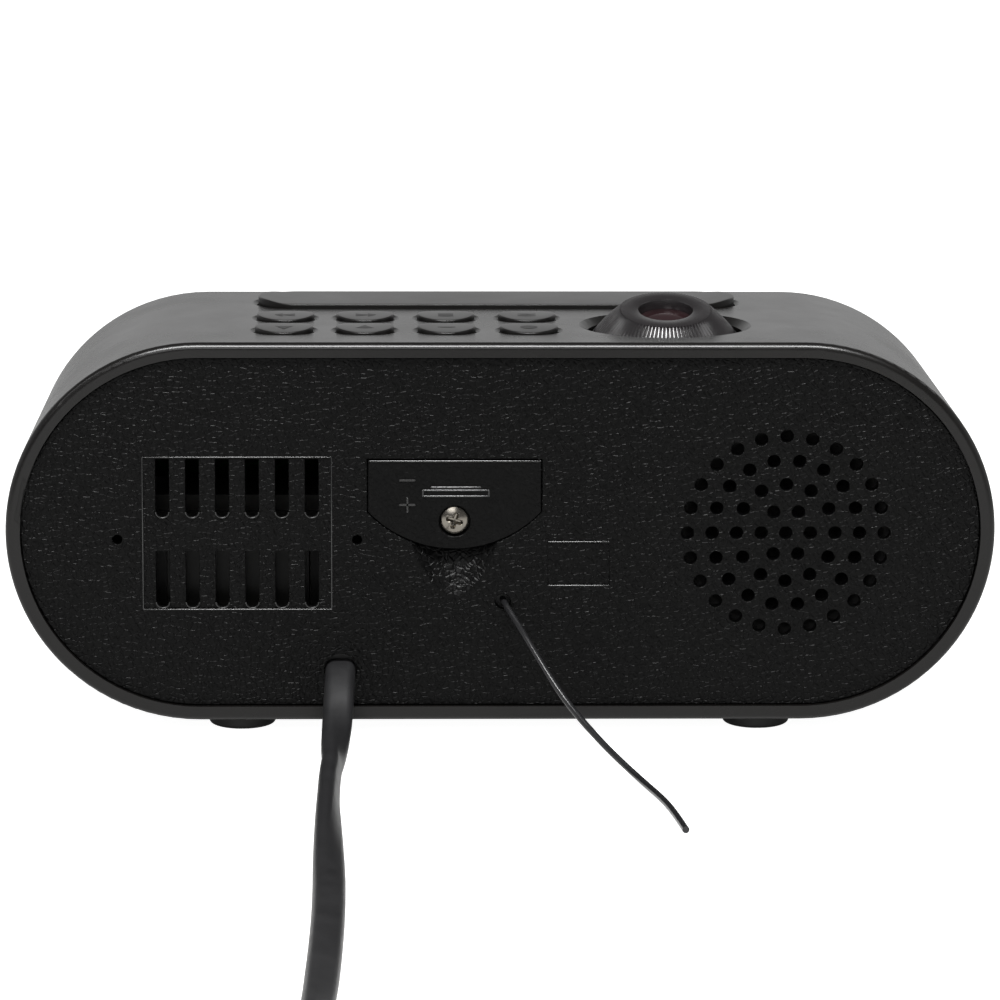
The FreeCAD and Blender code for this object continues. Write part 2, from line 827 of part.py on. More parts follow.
def rear_panel():
    width, height = panel_size()
    panel = stadium_plate(width - 2 * seam, height - 2 * seam, panel_back, panel_face)
    post_end = core_y + strap_thickness
    adds = snap_hooks()
    adds.append(door_plate(backing_edge, backing_front() - backing_thickness, backing_front()))
    adds.append(tray_box(sleeve_gap + sleeve_wall, sleeve_end() - sleeve_wall, backing_front()))
    adds.append(rod_y(door_x, door_screw_z, screw_boss_radius, backing_front() - screw_boss_length, backing_front()))
    adds.append(scoop(scoop_wall, panel_back + 0.5))
    adds += [rod_y(core_x + side * lug_offset, core_z, boss_radius, post_end, panel_back + 0.5)
             for side in (-1, 1)]
    seat = speaker_radius + speaker_clear
    rim = rod_y(speaker_x, speaker_z, seat + speaker_seat_wall, panel_back - speaker_rim, panel_back + 0.5)
    pocket = rod_y(speaker_x, speaker_z, seat, panel_back - 2 * speaker_rim, panel_back)
    adds.append(rim.cut(pocket))
    adds += [rod_y(x, z, post_radius, panel_back - speaker_rim, panel_back + 0.5)
             for x, z in speaker_post_places()]
    panel = fuse(panel, *adds)
    cuts = [rod_y(x, z, grille_hole, panel_back - 1, panel_face + 1) for x, z in grille_places()]
    cuts.append(pocket)
    for i in range(vent_count):
        x = vent_x + (i - (vent_count - 1) / 2) * vent_pitch
        cuts.append(vent_slot(x, *upper_slot))
        cuts.append(vent_slot(x, *lower_slot))
    cuts.append(box(vent_x - vent_width / 2, vent_x + vent_width / 2, panel_face - shallow, panel_face + 1,
                    vent_z - vent_height / 2, vent_z + vent_height / 2))
    cuts.append(box(plate_box[0], plate_box[1], panel_face - shallow, panel_face + 1,
                    plate_box[2], plate_box[3]))
    cuts += [rod_y(x, z, pin_hole_radius, panel_back - 1, panel_face + 1) for x, z in pin_holes]
    cuts.append(rod_y(cord_x, cord_z, cord_hole_radius, panel_back - 1, panel_face + 1))
    cuts.append(rod_y(antenna_x, antenna_z, antenna_hole_radius, panel_back - 1, panel_face + 1))
    cuts.append(door_plate(door_gap, backing_front(), panel_face + 1))
    cuts.append(tray_box(sleeve_gap, sleeve_end(), panel_face))
    cuts.append(rod_y(door_x, door_screw_z, screw_well_radius + 1.3, backing_front() - 1.4, panel_face))
    cuts.append(rod_y(door_x, door_screw_z, screw_radius + 0.3, backing_front() - screw_boss_length - 1, panel_face))
    cuts.append(scoop(0.0, panel_face + 1))
    cuts += [rod_y(core_x + side * lug_offset, core_z, screw_bore, post_end - 1, post_end + strap_screw_length)
             for side in (-1, 1)]
    cuts += [rod_y(x, z, screw_bore, panel_back - 4, panel_back + 1) for x, z in speaker_post_places()]
    return panel.cut(cuts)


# Speaker, on the inside of its grille
def turned_y(points):
    """A solid of revolution about the speaker's axis from (radius, y) points."""
    corners = [Vector(speaker_x + r, y, speaker_z) for r, y in points]
    face = Part.Face(Part.makePolygon(corners + corners[:1]))
    return face.revolve(Vector(speaker_x, 0, speaker_z), Vector(0, 1, 0), 360)


def speaker_basket():
    front = panel_back
    back = front - speaker_depth
    mouth = speaker_radius - flange_width
    hole = pole_radius + 0.4
    return turned_y([(speaker_radius, front), (speaker_radius, front - speaker_rim),
                     (mouth + basket_wall, front - speaker_rim), (magnet_radius + 1, back), (hole, back),
                     (hole, back + basket_wall), (magnet_radius, back + basket_wall),
                     (mouth, front - speaker_rim + 0.6), (mouth, front)])


def speaker_cone():
    front = panel_back
    edge = speaker_radius - flange_width - seam
    roll = 0.12 * edge
    dome = edge / 3
    deep = 0.6 * speaker_depth
    return turned_y([(edge, front - 0.4), (edge, front - 1.6), (edge - roll, front - 2.4),
                     (dome, front - deep - 1.2), (0, front - deep + 0.4), (0, front - deep + 1.4),
                     (dome, front - deep), (edge - roll, front - 1.3), (edge - roll / 2, front - 0.4)])


def speaker_magnet():
    back = panel_back - speaker_depth
    plate = rod_y(speaker_x, speaker_z, magnet_radius, back - magnet_height, back)
    pole = rod_y(speaker_x, speaker_z, pole_radius, back, back + pole_height)
    return fuse(plate, pole)


def speaker_screws():
    y = panel_back - speaker_rim
    solids = []
    for x, z in speaker_post_places():
        washer = rod_y(x, z, washer_radius, y - washer_thickness, y)
        solids.append(fuse(washer, screw(x, y - washer_thickness, z, (0, 1, 0), speaker_screw_length)))
    return group(solids)


# Transformer: laminated core, winding and strap, behind the vents
def transformer_core():
    half = core_width / 2
    y0 = core_y - core_stack
    core = box(core_x - half, core_x + half, y0, core_y, core_z - core_height / 2, core_z + core_height / 2)
    high = window_height / 2
    gaps = [box(core_x + a, core_x + b, y0 - 1, core_y + 1, core_z - high, core_z + high)
            for a, b in ((-window_half, -leg_half), (leg_half, window_half))]
    return core.cut(gaps)


def transformer_winding():
    half = window_half - 0.2
    high = window_height / 2 - 0.2
    y0 = core_y - core_stack
    block = box(core_x - half, core_x + half, y0 - coil_bulge, core_y + coil_bulge,
                core_z - high, core_z + high)
    gap = 0.15
    return block.cut(box(core_x - leg_half - gap, core_x + leg_half + gap, y0 - gap, core_y + gap,
                         core_z - core_height, core_z + core_height))


def transformer_strap():
    reach = lug_offset + 4
    tall = core_height / 2 - 3
    plate = box(core_x - reach, core_x + reach, core_y, core_y + strap_thickness, core_z - tall, core_z + tall)
    hole = window_half + 0.2
    high = window_height / 2 + 0.2
    cuts = [box(core_x - hole, core_x + hole, core_y - 1, core_y + 3, core_z - high, core_z + high)]
    cuts += [rod_y(core_x + side * lug_offset, core_z, screw_radius + screw_clear, core_y - 1, core_y + 3)
             for side in (-1, 1)]
    return plate.cut(cuts)


def transformer_screws():
    return group([screw(core_x + side * lug_offset, core_y, core_z, (0, 1, 0), strap_screw_length)
                  for side in (-1, 1)])


# Cord clamp and antenna anchor, behind their holes
def cord_clamp():
    return box(cord_x - 7, cord_x + 7, core_y + strap_thickness + 0.4, panel_back, cord_z - 4.4, cord_z + 4.4)


def antenna_anchor():
    return box(antenna_x - 2.5, antenna_x + 2.5, panel_back - 5, panel_back, antenna_z - 2.5, antenna_z + 2.5)


# Rubber feet, pressed into shallow seats in the shell's bottom
def rubber_feet():
    feet = []
    for x, y in foot_places():
        foot = rod_z(x, y, foot_radius, 0, foot_seat)
        feet.append(foot.makeFillet(0.8, [e for e in foot.Edges if all(v.Z < 0.01 for v in e.Vertexes)]))
    return group(feet)


# Cords: straight runs joined by arcs that touch them
mains_route = ((cord_x, cord_start, cord_z), (30.98, 39.6, 11.25), (31.39, 48.2, 5.65), (32.0, 61.8, 2.95),
               (32.7, 86.0, 2.95), (32.3, 121.4, 2.95), (31.75, 160.4, 2.95), (32.4, 199.5, 2.95),
               (33.6, 232.0, 2.95), (35.2, 267.5, 2.95))
antenna_route = ((antenna_x, panel_back, antenna_z), (-0.7, 36.6, 25.1), (-2.4, 41.0, 21.0),
                 (-5.4, 45.5, 15.55), (-8.85, 51.0, 10.35), (-13.0, 57.5, 5.9), (-18.05, 64.5, 2.55),
                 (-23.25, 72.2, 0.65), (-27.25, 82.5, 0.65), (-30.05, 92.7, 0.65), (-31.85, 103.9, 0.65))


def cord_tube(points, diameter, name):
    corners = [Vector(*p) for p in points]
    edges = []
    radii = []
    start = corners[0]
    for i in range(1, len(corners) - 1):
        back = corners[i - 1] - corners[i]
        ahead = corners[i + 1] - corners[i]
        shorter = min(back.Length, ahead.Length)
        turn = math.pi - back.getAngle(ahead)
        back.normalize()
        ahead.normalize()
        trim = 0.45 * shorter
        radius = trim / math.tan(turn / 2)
        radii.append(round(radius, 1))
        into = corners[i] + back * trim
        out = corners[i] + ahead * trim
        inward = back + ahead
        inward.normalize()
        centre = corners[i] + inward * math.hypot(radius, trim)
        edges.append(Part.LineSegment(start, into).toShape())
        edges.append(Part.Arc(into, centre - inward * radius, out).toShape())
        start = out
    edges.append(Part.LineSegment(start, corners[-1]).toShape())
    path = Part.Wire(edges)
    first = corners[1] - corners[0]
    profile = Part.Wire(Part.makeCircle(diameter / 2, corners[0], first))
    tube = path.makePipeShell([profile], True, True)
    share = tube.Volume / (math.pi * diameter ** 2 / 4 * path.Length)
    print(name, "length", round(path.Length, 1), "radii", radii, "volume share", round(share, 4))
    return tube


def outer_turn():
    return (coil_inner + coil_outer) / 2 + cord_diameter


def coil_centre():
    """The coil lies beyond the route's end, which runs into its outer turn."""
    bite = math.sqrt(coil_outer ** 2 - (outer_turn() - cord_diameter / 2) ** 2) - coil_bite
    return mains_route[-1][0] - outer_turn(), mains_route[-1][1] + bite


def cord_coil():
    x, y = coil_centre()
    ring = rod_z(x, y, coil_outer, 0, coil_height)
    return ring.cut(rod_z(x, y, coil_inner, -1, coil_height + 1))


def plug_place():
    """The middle of the plug's rear face, on the surface."""
    x, y = coil_centre()
    return x - plug_reach, y + outer_turn()


def plug_lead():
    x, y = plug_place()
    inside = math.sqrt(coil_outer ** 2 - outer_turn() ** 2)
    start = Vector(coil_centre()[0] - inside + coil_bite, y, coil_height - cord_diameter / 2 - 0.4)
    way = Vector(x - 0.5, y, plug_thickness / 2) - start
    return Part.makeCylinder(cord_diameter / 2, way.Length, start, way)


def mains_plug():
    """A flat two-pin plug lying on the surface, its pins towards -X."""
    x, y = plug_place()
    half = plug_width / 2
    neck = plug_neck / 2
    outline = [Vector(x, y - neck, 0), Vector(x, y + neck, 0), Vector(x - plug_shoulder, y + half, 0),
               Vector(x - plug_length, y + half, 0), Vector(x - plug_length, y - half, 0),
               Vector(x - plug_shoulder, y - half, 0)]
    body = Part.Face(Part.makePolygon(outline + outline[:1])).extrude(Vector(0, 0, plug_thickness))
    upright = [e for e in body.Edges if abs(e.Vertexes[0].Z - e.Vertexes[-1].Z) > 1]
    return body.makeFillet(2.0, upright)


def plug_pins():
    x, y = plug_place()
    end = x - plug_length
    return group([rod_x(y + side * pin_spacing / 2, plug_thickness / 2, plug_pin_radius,
                        end - plug_pin_length, end) for side in (-1, 1)])


# All pieces
save("outer_shell", outer_shell())
save("display_window", display_window())
save("display_module", display_module())
save("digit_segments", digit_segments())
save("main_board", main_board())
save("main_board_screws", main_board_screws())
save("board_parts", board_parts())
save("key_board", key_board())
save("key_board_screws", key_board_screws())
save("tact_switches", tact_switches())
for number, (key_x, key_y) in enumerate(key_places(), 1):
    save("key_" + str(number), key(key_x, key_y))
save("snooze_bar", snooze_bar())
save("projector_cradle", projector_cradle())
save("cradle_screws", cradle_screws())
save("projector_ball", projector_ball())
save("projector_lamp", projector_lamp())
save("focus_ring", focus_ring())
save("projector_lens", projector_lens())
save("rear_panel", rear_panel())
save("battery_drawer", battery_drawer())
save("drawer_screw", drawer_screw())
save("coin_cell", coin_cell())
save("cell_contacts", cell_contacts())
save("speaker_basket", speaker_basket())
save("speaker_cone", speaker_cone())
save("speaker_magnet", speaker_magnet())
save("speaker_screws", speaker_screws())
save("transformer_core", transformer_core())
save("transformer_winding", transformer_winding())
save("transformer_strap", transformer_strap())
save("transformer_screws", transformer_screws())
save("cord_clamp", cord_clamp())
save("antenna_anchor", antenna_anchor())
save("rubber_feet", rubber_feet())
save("mains_cord", cord_tube(mains_route, cord_diameter, "mains_cord"))
save("cord_coil", cord_coil())
save("plug_lead", plug_lead())
save("mains_plug", mains_plug())
save("plug_pins", plug_pins())
save("antenna_wire", cord_tube(antenna_route, wire_diameter, "antenna_wire"))
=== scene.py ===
import json
import bmesh
import bpy
import numpy as np
from mathutils import Matrix, Vector


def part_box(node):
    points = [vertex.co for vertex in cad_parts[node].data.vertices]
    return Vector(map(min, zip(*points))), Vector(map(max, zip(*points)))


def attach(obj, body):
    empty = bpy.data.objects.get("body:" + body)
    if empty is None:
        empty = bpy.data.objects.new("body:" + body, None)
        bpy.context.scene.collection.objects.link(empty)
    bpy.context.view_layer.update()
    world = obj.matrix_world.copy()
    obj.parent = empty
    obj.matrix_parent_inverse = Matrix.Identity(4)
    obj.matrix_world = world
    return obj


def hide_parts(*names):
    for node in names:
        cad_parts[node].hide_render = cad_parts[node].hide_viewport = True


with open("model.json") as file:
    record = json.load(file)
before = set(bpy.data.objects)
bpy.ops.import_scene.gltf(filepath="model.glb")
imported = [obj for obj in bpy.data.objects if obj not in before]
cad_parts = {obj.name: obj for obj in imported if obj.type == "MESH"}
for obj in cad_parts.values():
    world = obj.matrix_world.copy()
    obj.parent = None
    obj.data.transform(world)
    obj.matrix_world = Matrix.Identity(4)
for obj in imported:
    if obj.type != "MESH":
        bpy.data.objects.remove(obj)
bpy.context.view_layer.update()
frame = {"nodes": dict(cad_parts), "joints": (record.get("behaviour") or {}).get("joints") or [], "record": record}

nodes = frame["nodes"]
MM = 0.001


# Camera: at the photograph's angle behind the clock, its place worked out from the housing's
# outline. The focal length is long, so the sides of the housing hardly converge.
camera_place = Vector((22.635, 1000.0, 248.027)) * MM
camera_yaw, camera_pitch, camera_roll = np.radians((1.328, 11.813, 0.239))
focal_length = 185.48
forward = Vector((-np.sin(camera_yaw) * np.cos(camera_pitch), -np.cos(camera_yaw) * np.cos(camera_pitch),
                  -np.sin(camera_pitch)))
level = Vector((-np.cos(camera_yaw), np.sin(camera_yaw), 0.0))
upward = level.cross(forward)
right = level * np.cos(camera_roll) + upward * np.sin(camera_roll)
above = upward * np.cos(camera_roll) - level * np.sin(camera_roll)
camera = bpy.data.objects.new("camera", bpy.data.cameras.new("camera"))
camera.data.lens = focal_length
camera.data.sensor_width = 36.0
camera.data.clip_end = 20.0
camera_turn = Matrix((right, above, -forward)).transposed().to_4x4()
camera.matrix_world = Matrix.Translation(camera_place) @ camera_turn
bpy.context.scene.collection.objects.link(camera)
bpy.context.scene.camera = camera
bpy.context.scene.view_settings.view_transform = "Standard"


# Studio: a white floor, a white surround and three soft boxes, of which the one above gives most of
# the light. The floor and the surround show as white to the camera and as dimmer sheets in
# reflections, and the floor keeps the clock's shadow.
def linear(hexcode):
    """An sRGB hex colour as linear red, green, blue and alpha."""
    share = np.array([int(hexcode[i:i + 2], 16) / 255 for i in (1, 3, 5)])
    low = share / 12.92
    high = ((share + 0.055) / 1.055) ** 2.4
    return (*np.where(share <= 0.04045, low, high), 1.0)


def add(tree, kind, settings=None, links=None):
    """One shader node. Settings name its inputs or properties, links join its inputs to outputs."""
    node = tree.nodes.new("ShaderNode" + kind)
    for name, value in (settings or {}).items():
        if isinstance(name, str) and hasattr(node, name):
            setattr(node, name, value)
        else:
            node.inputs[name].default_value = value
    for name, output in (links or {}).items():
        tree.links.new(output, node.inputs[name])
    return node


def start_material(name):
    """An empty material and its node tree."""
    material = bpy.data.materials.new(name)
    material.use_nodes = True
    material.node_tree.nodes.clear()
    return material, material.node_tree


def seen_directly(tree):
    """1 for camera, glossy and transmission rays, 0 for the rays that light other things."""
    path = add(tree, "LightPath")
    first = add(tree, "Math", {"operation": "MAXIMUM"},
                {0: path.outputs["Is Camera Ray"], 1: path.outputs["Is Glossy Ray"]})
    return add(tree, "Math", {"operation": "MAXIMUM"},
               {0: first.outputs[0], 1: path.outputs["Is Transmission Ray"]}).outputs[0]


# As reflections see it, the surround is a pale sheet behind and beside the clock that fades between
# about 15 and 38 degrees above the table into a dim ceiling, and a dim room on the camera's side.
# The camera sees white everywhere. The fades are given as heights and depths of a unit direction.
surround_light = 0.42
sheet_seen, ceiling_seen, room_seen = 0.68, 0.12, 0.2
sheet_fade = (0.26, 0.62)
room_fade = (0.1, 0.8)
world = bpy.data.worlds.new("studio")
world.use_nodes = True
bpy.context.scene.world = world
sky = world.node_tree
sky.nodes.clear()
direction = add(sky, "TexCoord").outputs["Generated"]
parts = add(sky, "SeparateXYZ", None, {0: direction}).outputs
sheet = add(sky, "MapRange", {"interpolation_type": "SMOOTHSTEP",
                              "From Min": sheet_fade[0], "From Max": sheet_fade[1],
                              "To Min": sheet_seen, "To Max": ceiling_seen},
            {"Value": parts["Z"]}).outputs[0]
behind = add(sky, "MapRange", {"interpolation_type": "SMOOTHSTEP",
                               "From Min": room_fade[0], "From Max": room_fade[1],
                               "To Min": 1.0, "To Max": room_seen},
             {"Value": parts["Y"]}).outputs[0]
both_ways = add(sky, "Math", {"operation": "MULTIPLY"}, {0: sheet, 1: behind}).outputs[0]
from_camera = add(sky, "LightPath").outputs["Is Camera Ray"]
seen = add(sky, "Math", {"operation": "MAXIMUM"}, {0: both_ways, 1: from_camera}).outputs[0]
strength = add(sky, "MapRange", {"To Min": surround_light}, {"Value": seen_directly(sky), "To Max": seen})
background = add(sky, "Background", {"Color": linear("#ffffff")}, {"Strength": strength.outputs[0]})
add(sky, "OutputWorld", None, {"Surface": background.outputs[0]})

floor_glow, floor_reflected = 0.97, 0.16
floor_white = "#aaaaa9"
floor_reach = 6.0
paper, tree = start_material("white_paper_floor")
to_camera = add(tree, "LightPath").outputs["Is Camera Ray"]
glow_level = add(tree, "MapRange", {"To Min": floor_reflected, "To Max": floor_glow}, {"Value": to_camera})
glow = add(tree, "Math", {"operation": "MULTIPLY"}, {0: seen_directly(tree), 1: glow_level.outputs[0]})
shine = add(tree, "Emission", {"Color": linear("#ffffff")}, {"Strength": glow.outputs[0]})
matt = add(tree, "BsdfDiffuse", {"Color": linear(floor_white)})
both = add(tree, "AddShader", None, {0: shine.outputs[0], 1: matt.outputs[0]})
add(tree, "OutputMaterial", None, {"Surface": both.outputs[0]})
floor_mesh = bpy.data.meshes.new("floor")
floor_mesh.from_pydata([(-floor_reach, -floor_reach, 0), (floor_reach, -floor_reach, 0),
                        (floor_reach, floor_reach, 0), (-floor_reach, floor_reach, 0)], [], [(0, 1, 2, 3)])
floor = bpy.data.objects.new("floor", floor_mesh)
floor.data.materials.append(paper)
bpy.context.scene.collection.objects.link(floor)

soft_boxes = [("soft_box_above", (0.03, 0.56, 1.0), 0.8, 0.3, 26.0),
              ("soft_box_left", (0.85, 0.75, 0.75), 0.3, 0.3, 1.0),
              ("soft_box_front", (0.25, 1.25, 0.72), 0.6, 0.4, 3.2)]
lit_point = Vector((0, 0, 0.04))
for name, place, width, depth, power in soft_boxes:
    lamp = bpy.data.objects.new(name, bpy.data.lights.new(name, "AREA"))
    lamp.data.shape = "RECTANGLE"
    lamp.data.size, lamp.data.size_y = width, depth
    lamp.data.energy = power
    lamp.location = place
    lamp.rotation_euler = (lit_point - lamp.location).to_track_quat("-Z", "Y").to_euler()
    bpy.context.scene.collection.objects.link(lamp)


# Mains cord: a flat two-core lead in black PVC, about 1.5 m long, that comes out of a plain hole in
# the rear panel, drops to the table and rolls onto its edge and back; the rest is coiled beyond the
# view, in two layers of three turns.
def grid_mesh(name, points, around=False, along_closed=False):
    """A mesh of quads from an array of points, rows by columns by xyz. around joins the last column
    to the first, along_closed the last row to the first; points that coincide are merged."""
    points = np.asarray(points, float)
    rows, columns = points.shape[:2]
    row = np.arange(rows if along_closed else rows - 1)
    column = np.arange(columns if around else columns - 1)
    i, j = np.meshgrid(row, column, indexing="ij")
    next_i, next_j = (i + 1) % rows, (j + 1) % columns
    faces = np.stack([i * columns + j, i * columns + next_j, next_i * columns + next_j,
                      next_i * columns + j], -1).reshape(-1, 4)
    mesh = bpy.data.meshes.new(name)
    mesh.from_pydata((points.reshape(-1, 3) * MM).tolist(), [], faces.tolist())
    tidy = bmesh.new()
    tidy.from_mesh(mesh)
    bmesh.ops.remove_doubles(tidy, verts=tidy.verts, dist=1e-7)
    bmesh.ops.recalc_face_normals(tidy, faces=tidy.faces)
    tidy.to_mesh(mesh)
    tidy.free()
    return mesh


def piece(name, mesh, material, body, sharp=35.0):
    """An object for a mesh, smooth except over edges sharper than the angle, riding on a body."""
    mesh.shade_smooth()
    mesh.set_sharp_from_angle(angle=np.radians(sharp))
    made = bpy.data.objects.new(name, mesh)
    made.data.materials.append(material)
    bpy.context.scene.collection.objects.link(made)
    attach(made, body)
    return made


def finish_surface(tree, settings, links=None, bump=None, bump_depth=0.0001, bump_strength=1.0):
    """A Principled surface and its output; bump is a height output, its depth in metres."""
    surface = add(tree, "BsdfPrincipled", settings, links)
    if bump is not None:
        relief = add(tree, "Bump", {"Distance": bump_depth, "Strength": bump_strength}, {"Height": bump})
        tree.links.new(relief.outputs[0], surface.inputs["Normal"])
    add(tree, "OutputMaterial", None, {"Surface": surface.outputs[0]})
    return surface


def pvc(name, gloss_low=0.34, gloss_high=0.48):
    """Soft PVC, extruded: black with a satin skin and faint streaks along it."""
    material, tree = start_material(name)
    place = add(tree, "TexCoord").outputs["Object"]
    cloud = add(tree, "TexNoise", {"Scale": 180.0, "Detail": 3.0}, {"Vector": place})
    tone = add(tree, "ValToRGB", None, {"Fac": cloud.outputs[0]})
    tone.color_ramp.elements[0].color = linear("#141415")
    tone.color_ramp.elements[1].color = linear("#1d1d1e")
    gloss = add(tree, "MapRange", {"To Min": gloss_low, "To Max": gloss_high}, {"Value": cloud.outputs[0]})
    finish_surface(tree, {"IOR": 1.53}, {"Base Color": tone.outputs[0], "Roughness": gloss.outputs[0]},
                   cloud.outputs[0], 0.00005, 0.4)
    return material


cord_width, cord_thickness = 5.8, 3.5
coil_middle = (-3.6, 289.17)
coil_levels = (3.0, 8.9)
turn_radii = (38.8, 33.0, 27.2)
turn_points = 14
coil_points = 6 * turn_points + turn_points // 4 + 1
visible_route = [(30.83, 32.3, 12.53), (30.98, 39.6, 11.25), (31.39, 48.2, 5.65), (32.0, 61.8, 2.95),
                 (32.7, 86.0, 2.95), (32.3, 121.4, 2.95), (31.75, 160.4, 2.95), (32.4, 199.5, 2.95),
                 (33.6, 232.0, 2.95), (35.2, 267.5, 2.95)]
# The coil runs inwards for three turns on the table, and back outwards for three on top of them: lap
# counts the turns from the outermost one, and each change of radius or level takes 0.4 of a turn.
turn = np.arange(coil_points) / turn_points
turns_in_all = 5.999
lap = np.maximum(np.minimum(turn, turns_in_all - turn), 0)
turn_radius = np.interp(lap, (0, 0.8, 1.2, 1.8, 2.2, 3.0), np.repeat(turn_radii, 2))
turn_level = np.interp(turn, (0, 2.8, 3.2, 7), np.repeat(coil_levels, 2))
coil_route = np.stack([coil_middle[0] + turn_radius * np.cos(2 * np.pi * turn),
                       coil_middle[1] + turn_radius * np.sin(2 * np.pi * turn), turn_level], -1).tolist()
plug_rear = (coil_middle[0] - 30.0, coil_middle[1] + turn_radii[0], 6.8)
lead_route = [(coil_route[-1][0] - 9.0, plug_rear[1], 8.6), (plug_rear[0] + 12.0, plug_rear[1], 7.2),
              (plug_rear[0] - 4.0, plug_rear[1], plug_rear[2])]


def smooth_route(name, corners):
    """The points in millimetres of a NURBS curve of order 3 whose control points are the corners."""
    curve = bpy.data.curves.new(name, "CURVE")
    curve.dimensions = "3D"
    curve.resolution_u = 8
    spline = curve.splines.new("NURBS")
    spline.points.add(len(corners) - 1)
    spline.points.foreach_set("co", np.c_[np.array(corners) * MM, np.ones(len(corners))].ravel())
    spline.order_u = 3
    spline.use_endpoint_u = True
    holder = bpy.data.objects.new(name, curve)
    bpy.context.scene.collection.objects.link(holder)
    line = bpy.data.meshes.new_from_object(holder)
    points = np.array([v.co for v in line.vertices]) / MM
    bpy.data.objects.remove(holder)
    bpy.data.curves.remove(curve)
    bpy.data.meshes.remove(line)
    return points


def arc_lengths(points):
    """The distance along a line of points from its first point to each of them."""
    return np.r_[0, np.cumsum(np.linalg.norm(np.diff(points, axis=0), axis=1))]


def swept(points, section, twist):
    """A section of (side, up) offsets carried along points; side is level and square to the path,
    and twist turns the section about the path at each point, in radians."""
    ahead = np.gradient(points, axis=0)
    ahead /= np.linalg.norm(ahead, axis=1)[:, None]
    side = np.cross(ahead, (0, 0, 1.0))
    side /= np.linalg.norm(side, axis=1)[:, None]
    up = np.cross(side, ahead)
    across = section[None, :, 0] * np.cos(twist)[:, None] - section[None, :, 1] * np.sin(twist)[:, None]
    upright = section[None, :, 0] * np.sin(twist)[:, None] + section[None, :, 1] * np.cos(twist)[:, None]
    body = points[:, None] + across[..., None] * side[:, None] + upright[..., None] * up[:, None]
    ends = [np.repeat(points[k][None, None], section.shape[0], 1) for k in (0, -1)]
    return np.concatenate([ends[0], body, ends[1]])


def flat_oval(width, thickness, count=24):
    """Two half rounds joined by flats, with a shallow groove down the middle of each flat."""
    angle = np.linspace(0, 2 * np.pi, count, endpoint=False)
    shift = (width - thickness) / 2 * np.tanh(4 * np.cos(angle))
    side = thickness / 2 * np.cos(angle) + shift
    up = thickness / 2 * np.sin(angle) * (1 - 0.06 * np.exp(-(side / 0.9) ** 2))
    return np.stack([side, up], -1)


# The lead's roll about its own line is given at distances along it. Where it lies flatter on the
# table its middle is lower, so the visible part of the route sinks to half its upright height.
mains_line = smooth_route("mains_route", visible_route + coil_route + lead_route)
distance = arc_lengths(mains_line)
roll_distances, roll_angles = (0, 10, 40, 64, 112, 170, 236, 4000), (0, 0, 80, 72, 14, 20, 90, 90)
twist = np.radians(np.interp(distance, roll_distances, roll_angles))
route_level, drop_from, coil_from = 2.95, 12.0, 240
rest_height = np.abs(np.sin(twist)) * (cord_width - cord_thickness) / 2 + cord_thickness / 2
lowered = np.clip((drop_from - mains_line[:, 2]) / (drop_from - route_level), 0, 1) * (distance < coil_from)
mains_line[:, 2] -= lowered * (route_level - rest_height)
black_pvc = pvc("black_pvc_lead")
cord_surface = swept(mains_line, flat_oval(cord_width, cord_thickness), twist)
mains_cord = piece("mains_cord_skin", grid_mesh("mains_cord_skin", cord_surface, around=True), black_pvc,
                   "housing", 60)
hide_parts("mains_cord", "cord_coil", "plug_lead")


# Plug: a flat two-pin plug moulded in the same PVC on the end of the lead, with a ribbed neck.
# Its pins are brass, sleeved in black for half their length.
def loft_x(name, stations, half_widths, half_heights, middle, power, count=40):
    """Superellipse sections square to X, at each station with its own half width and half height."""
    angle = np.linspace(0, 2 * np.pi, count, endpoint=False)
    c, s = np.cos(angle), np.sin(angle)
    round_c = np.sign(c) * np.abs(c) ** (2 / power)
    round_s = np.sign(s) * np.abs(s) ** (2 / power)
    x = np.repeat(np.array(stations)[:, None], count, 1)
    y = middle[0] + np.outer(half_widths, round_c)
    z = middle[1] + np.outer(half_heights, round_s)
    return grid_mesh(name, np.stack([x, y, z], -1), around=True)


plug_stations = plug_rear[0] - np.array([-11.5, -11.5, -11, 0, 0.6, 6, 12, 18, 29, 29.9, 30, 30])
plug_half_widths = np.array([0, 3.6, 3.9, 5.2, 6.6, 11.0, 15.5, 17.2, 17.4, 16.6, 16.2, 0])
plug_half_heights = np.array([0, 3.0, 3.3, 4.2, 5.0, 6.2, 6.7, 6.8, 6.8, 6.3, 6.0, 0])
plug_middle = (plug_rear[1], plug_rear[2])
plug_body = piece("plug_body", loft_x("plug_body", plug_stations, plug_half_widths, plug_half_heights,
                                      plug_middle, 3.0), black_pvc, "housing")
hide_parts("mains_plug")
neck_ribs, first_rib, neck_pitch = 4, 9.5, 2.5
rib_across = np.array([0.7, 0.7, 0.4, -0.4, -0.7, -0.7])
rib_grow, rib_ease = np.array([0, 1, 1, 1, 1, 0]), np.array([0, 0.5, 0, 0, 0.5, 0])
ribs = []
for k in range(neck_ribs):
    wide, high = 4.6 + 0.35 * k, 3.8 + 0.25 * k
    ribs.append(loft_x("rib", plug_rear[0] + first_rib - neck_pitch * k + rib_across,
                       wide * rib_grow - rib_ease, high * rib_grow - rib_ease, plug_middle, 2.6))


def joined(name, meshes):
    """One mesh from several."""
    whole = bmesh.new()
    for mesh in meshes:
        whole.from_mesh(mesh)
        bpy.data.meshes.remove(mesh)
    mesh = bpy.data.meshes.new(name)
    whole.to_mesh(mesh)
    whole.free()
    return mesh


plug_ribs = piece("plug_neck_ribs", joined("plug_neck_ribs", ribs), black_pvc, "housing")


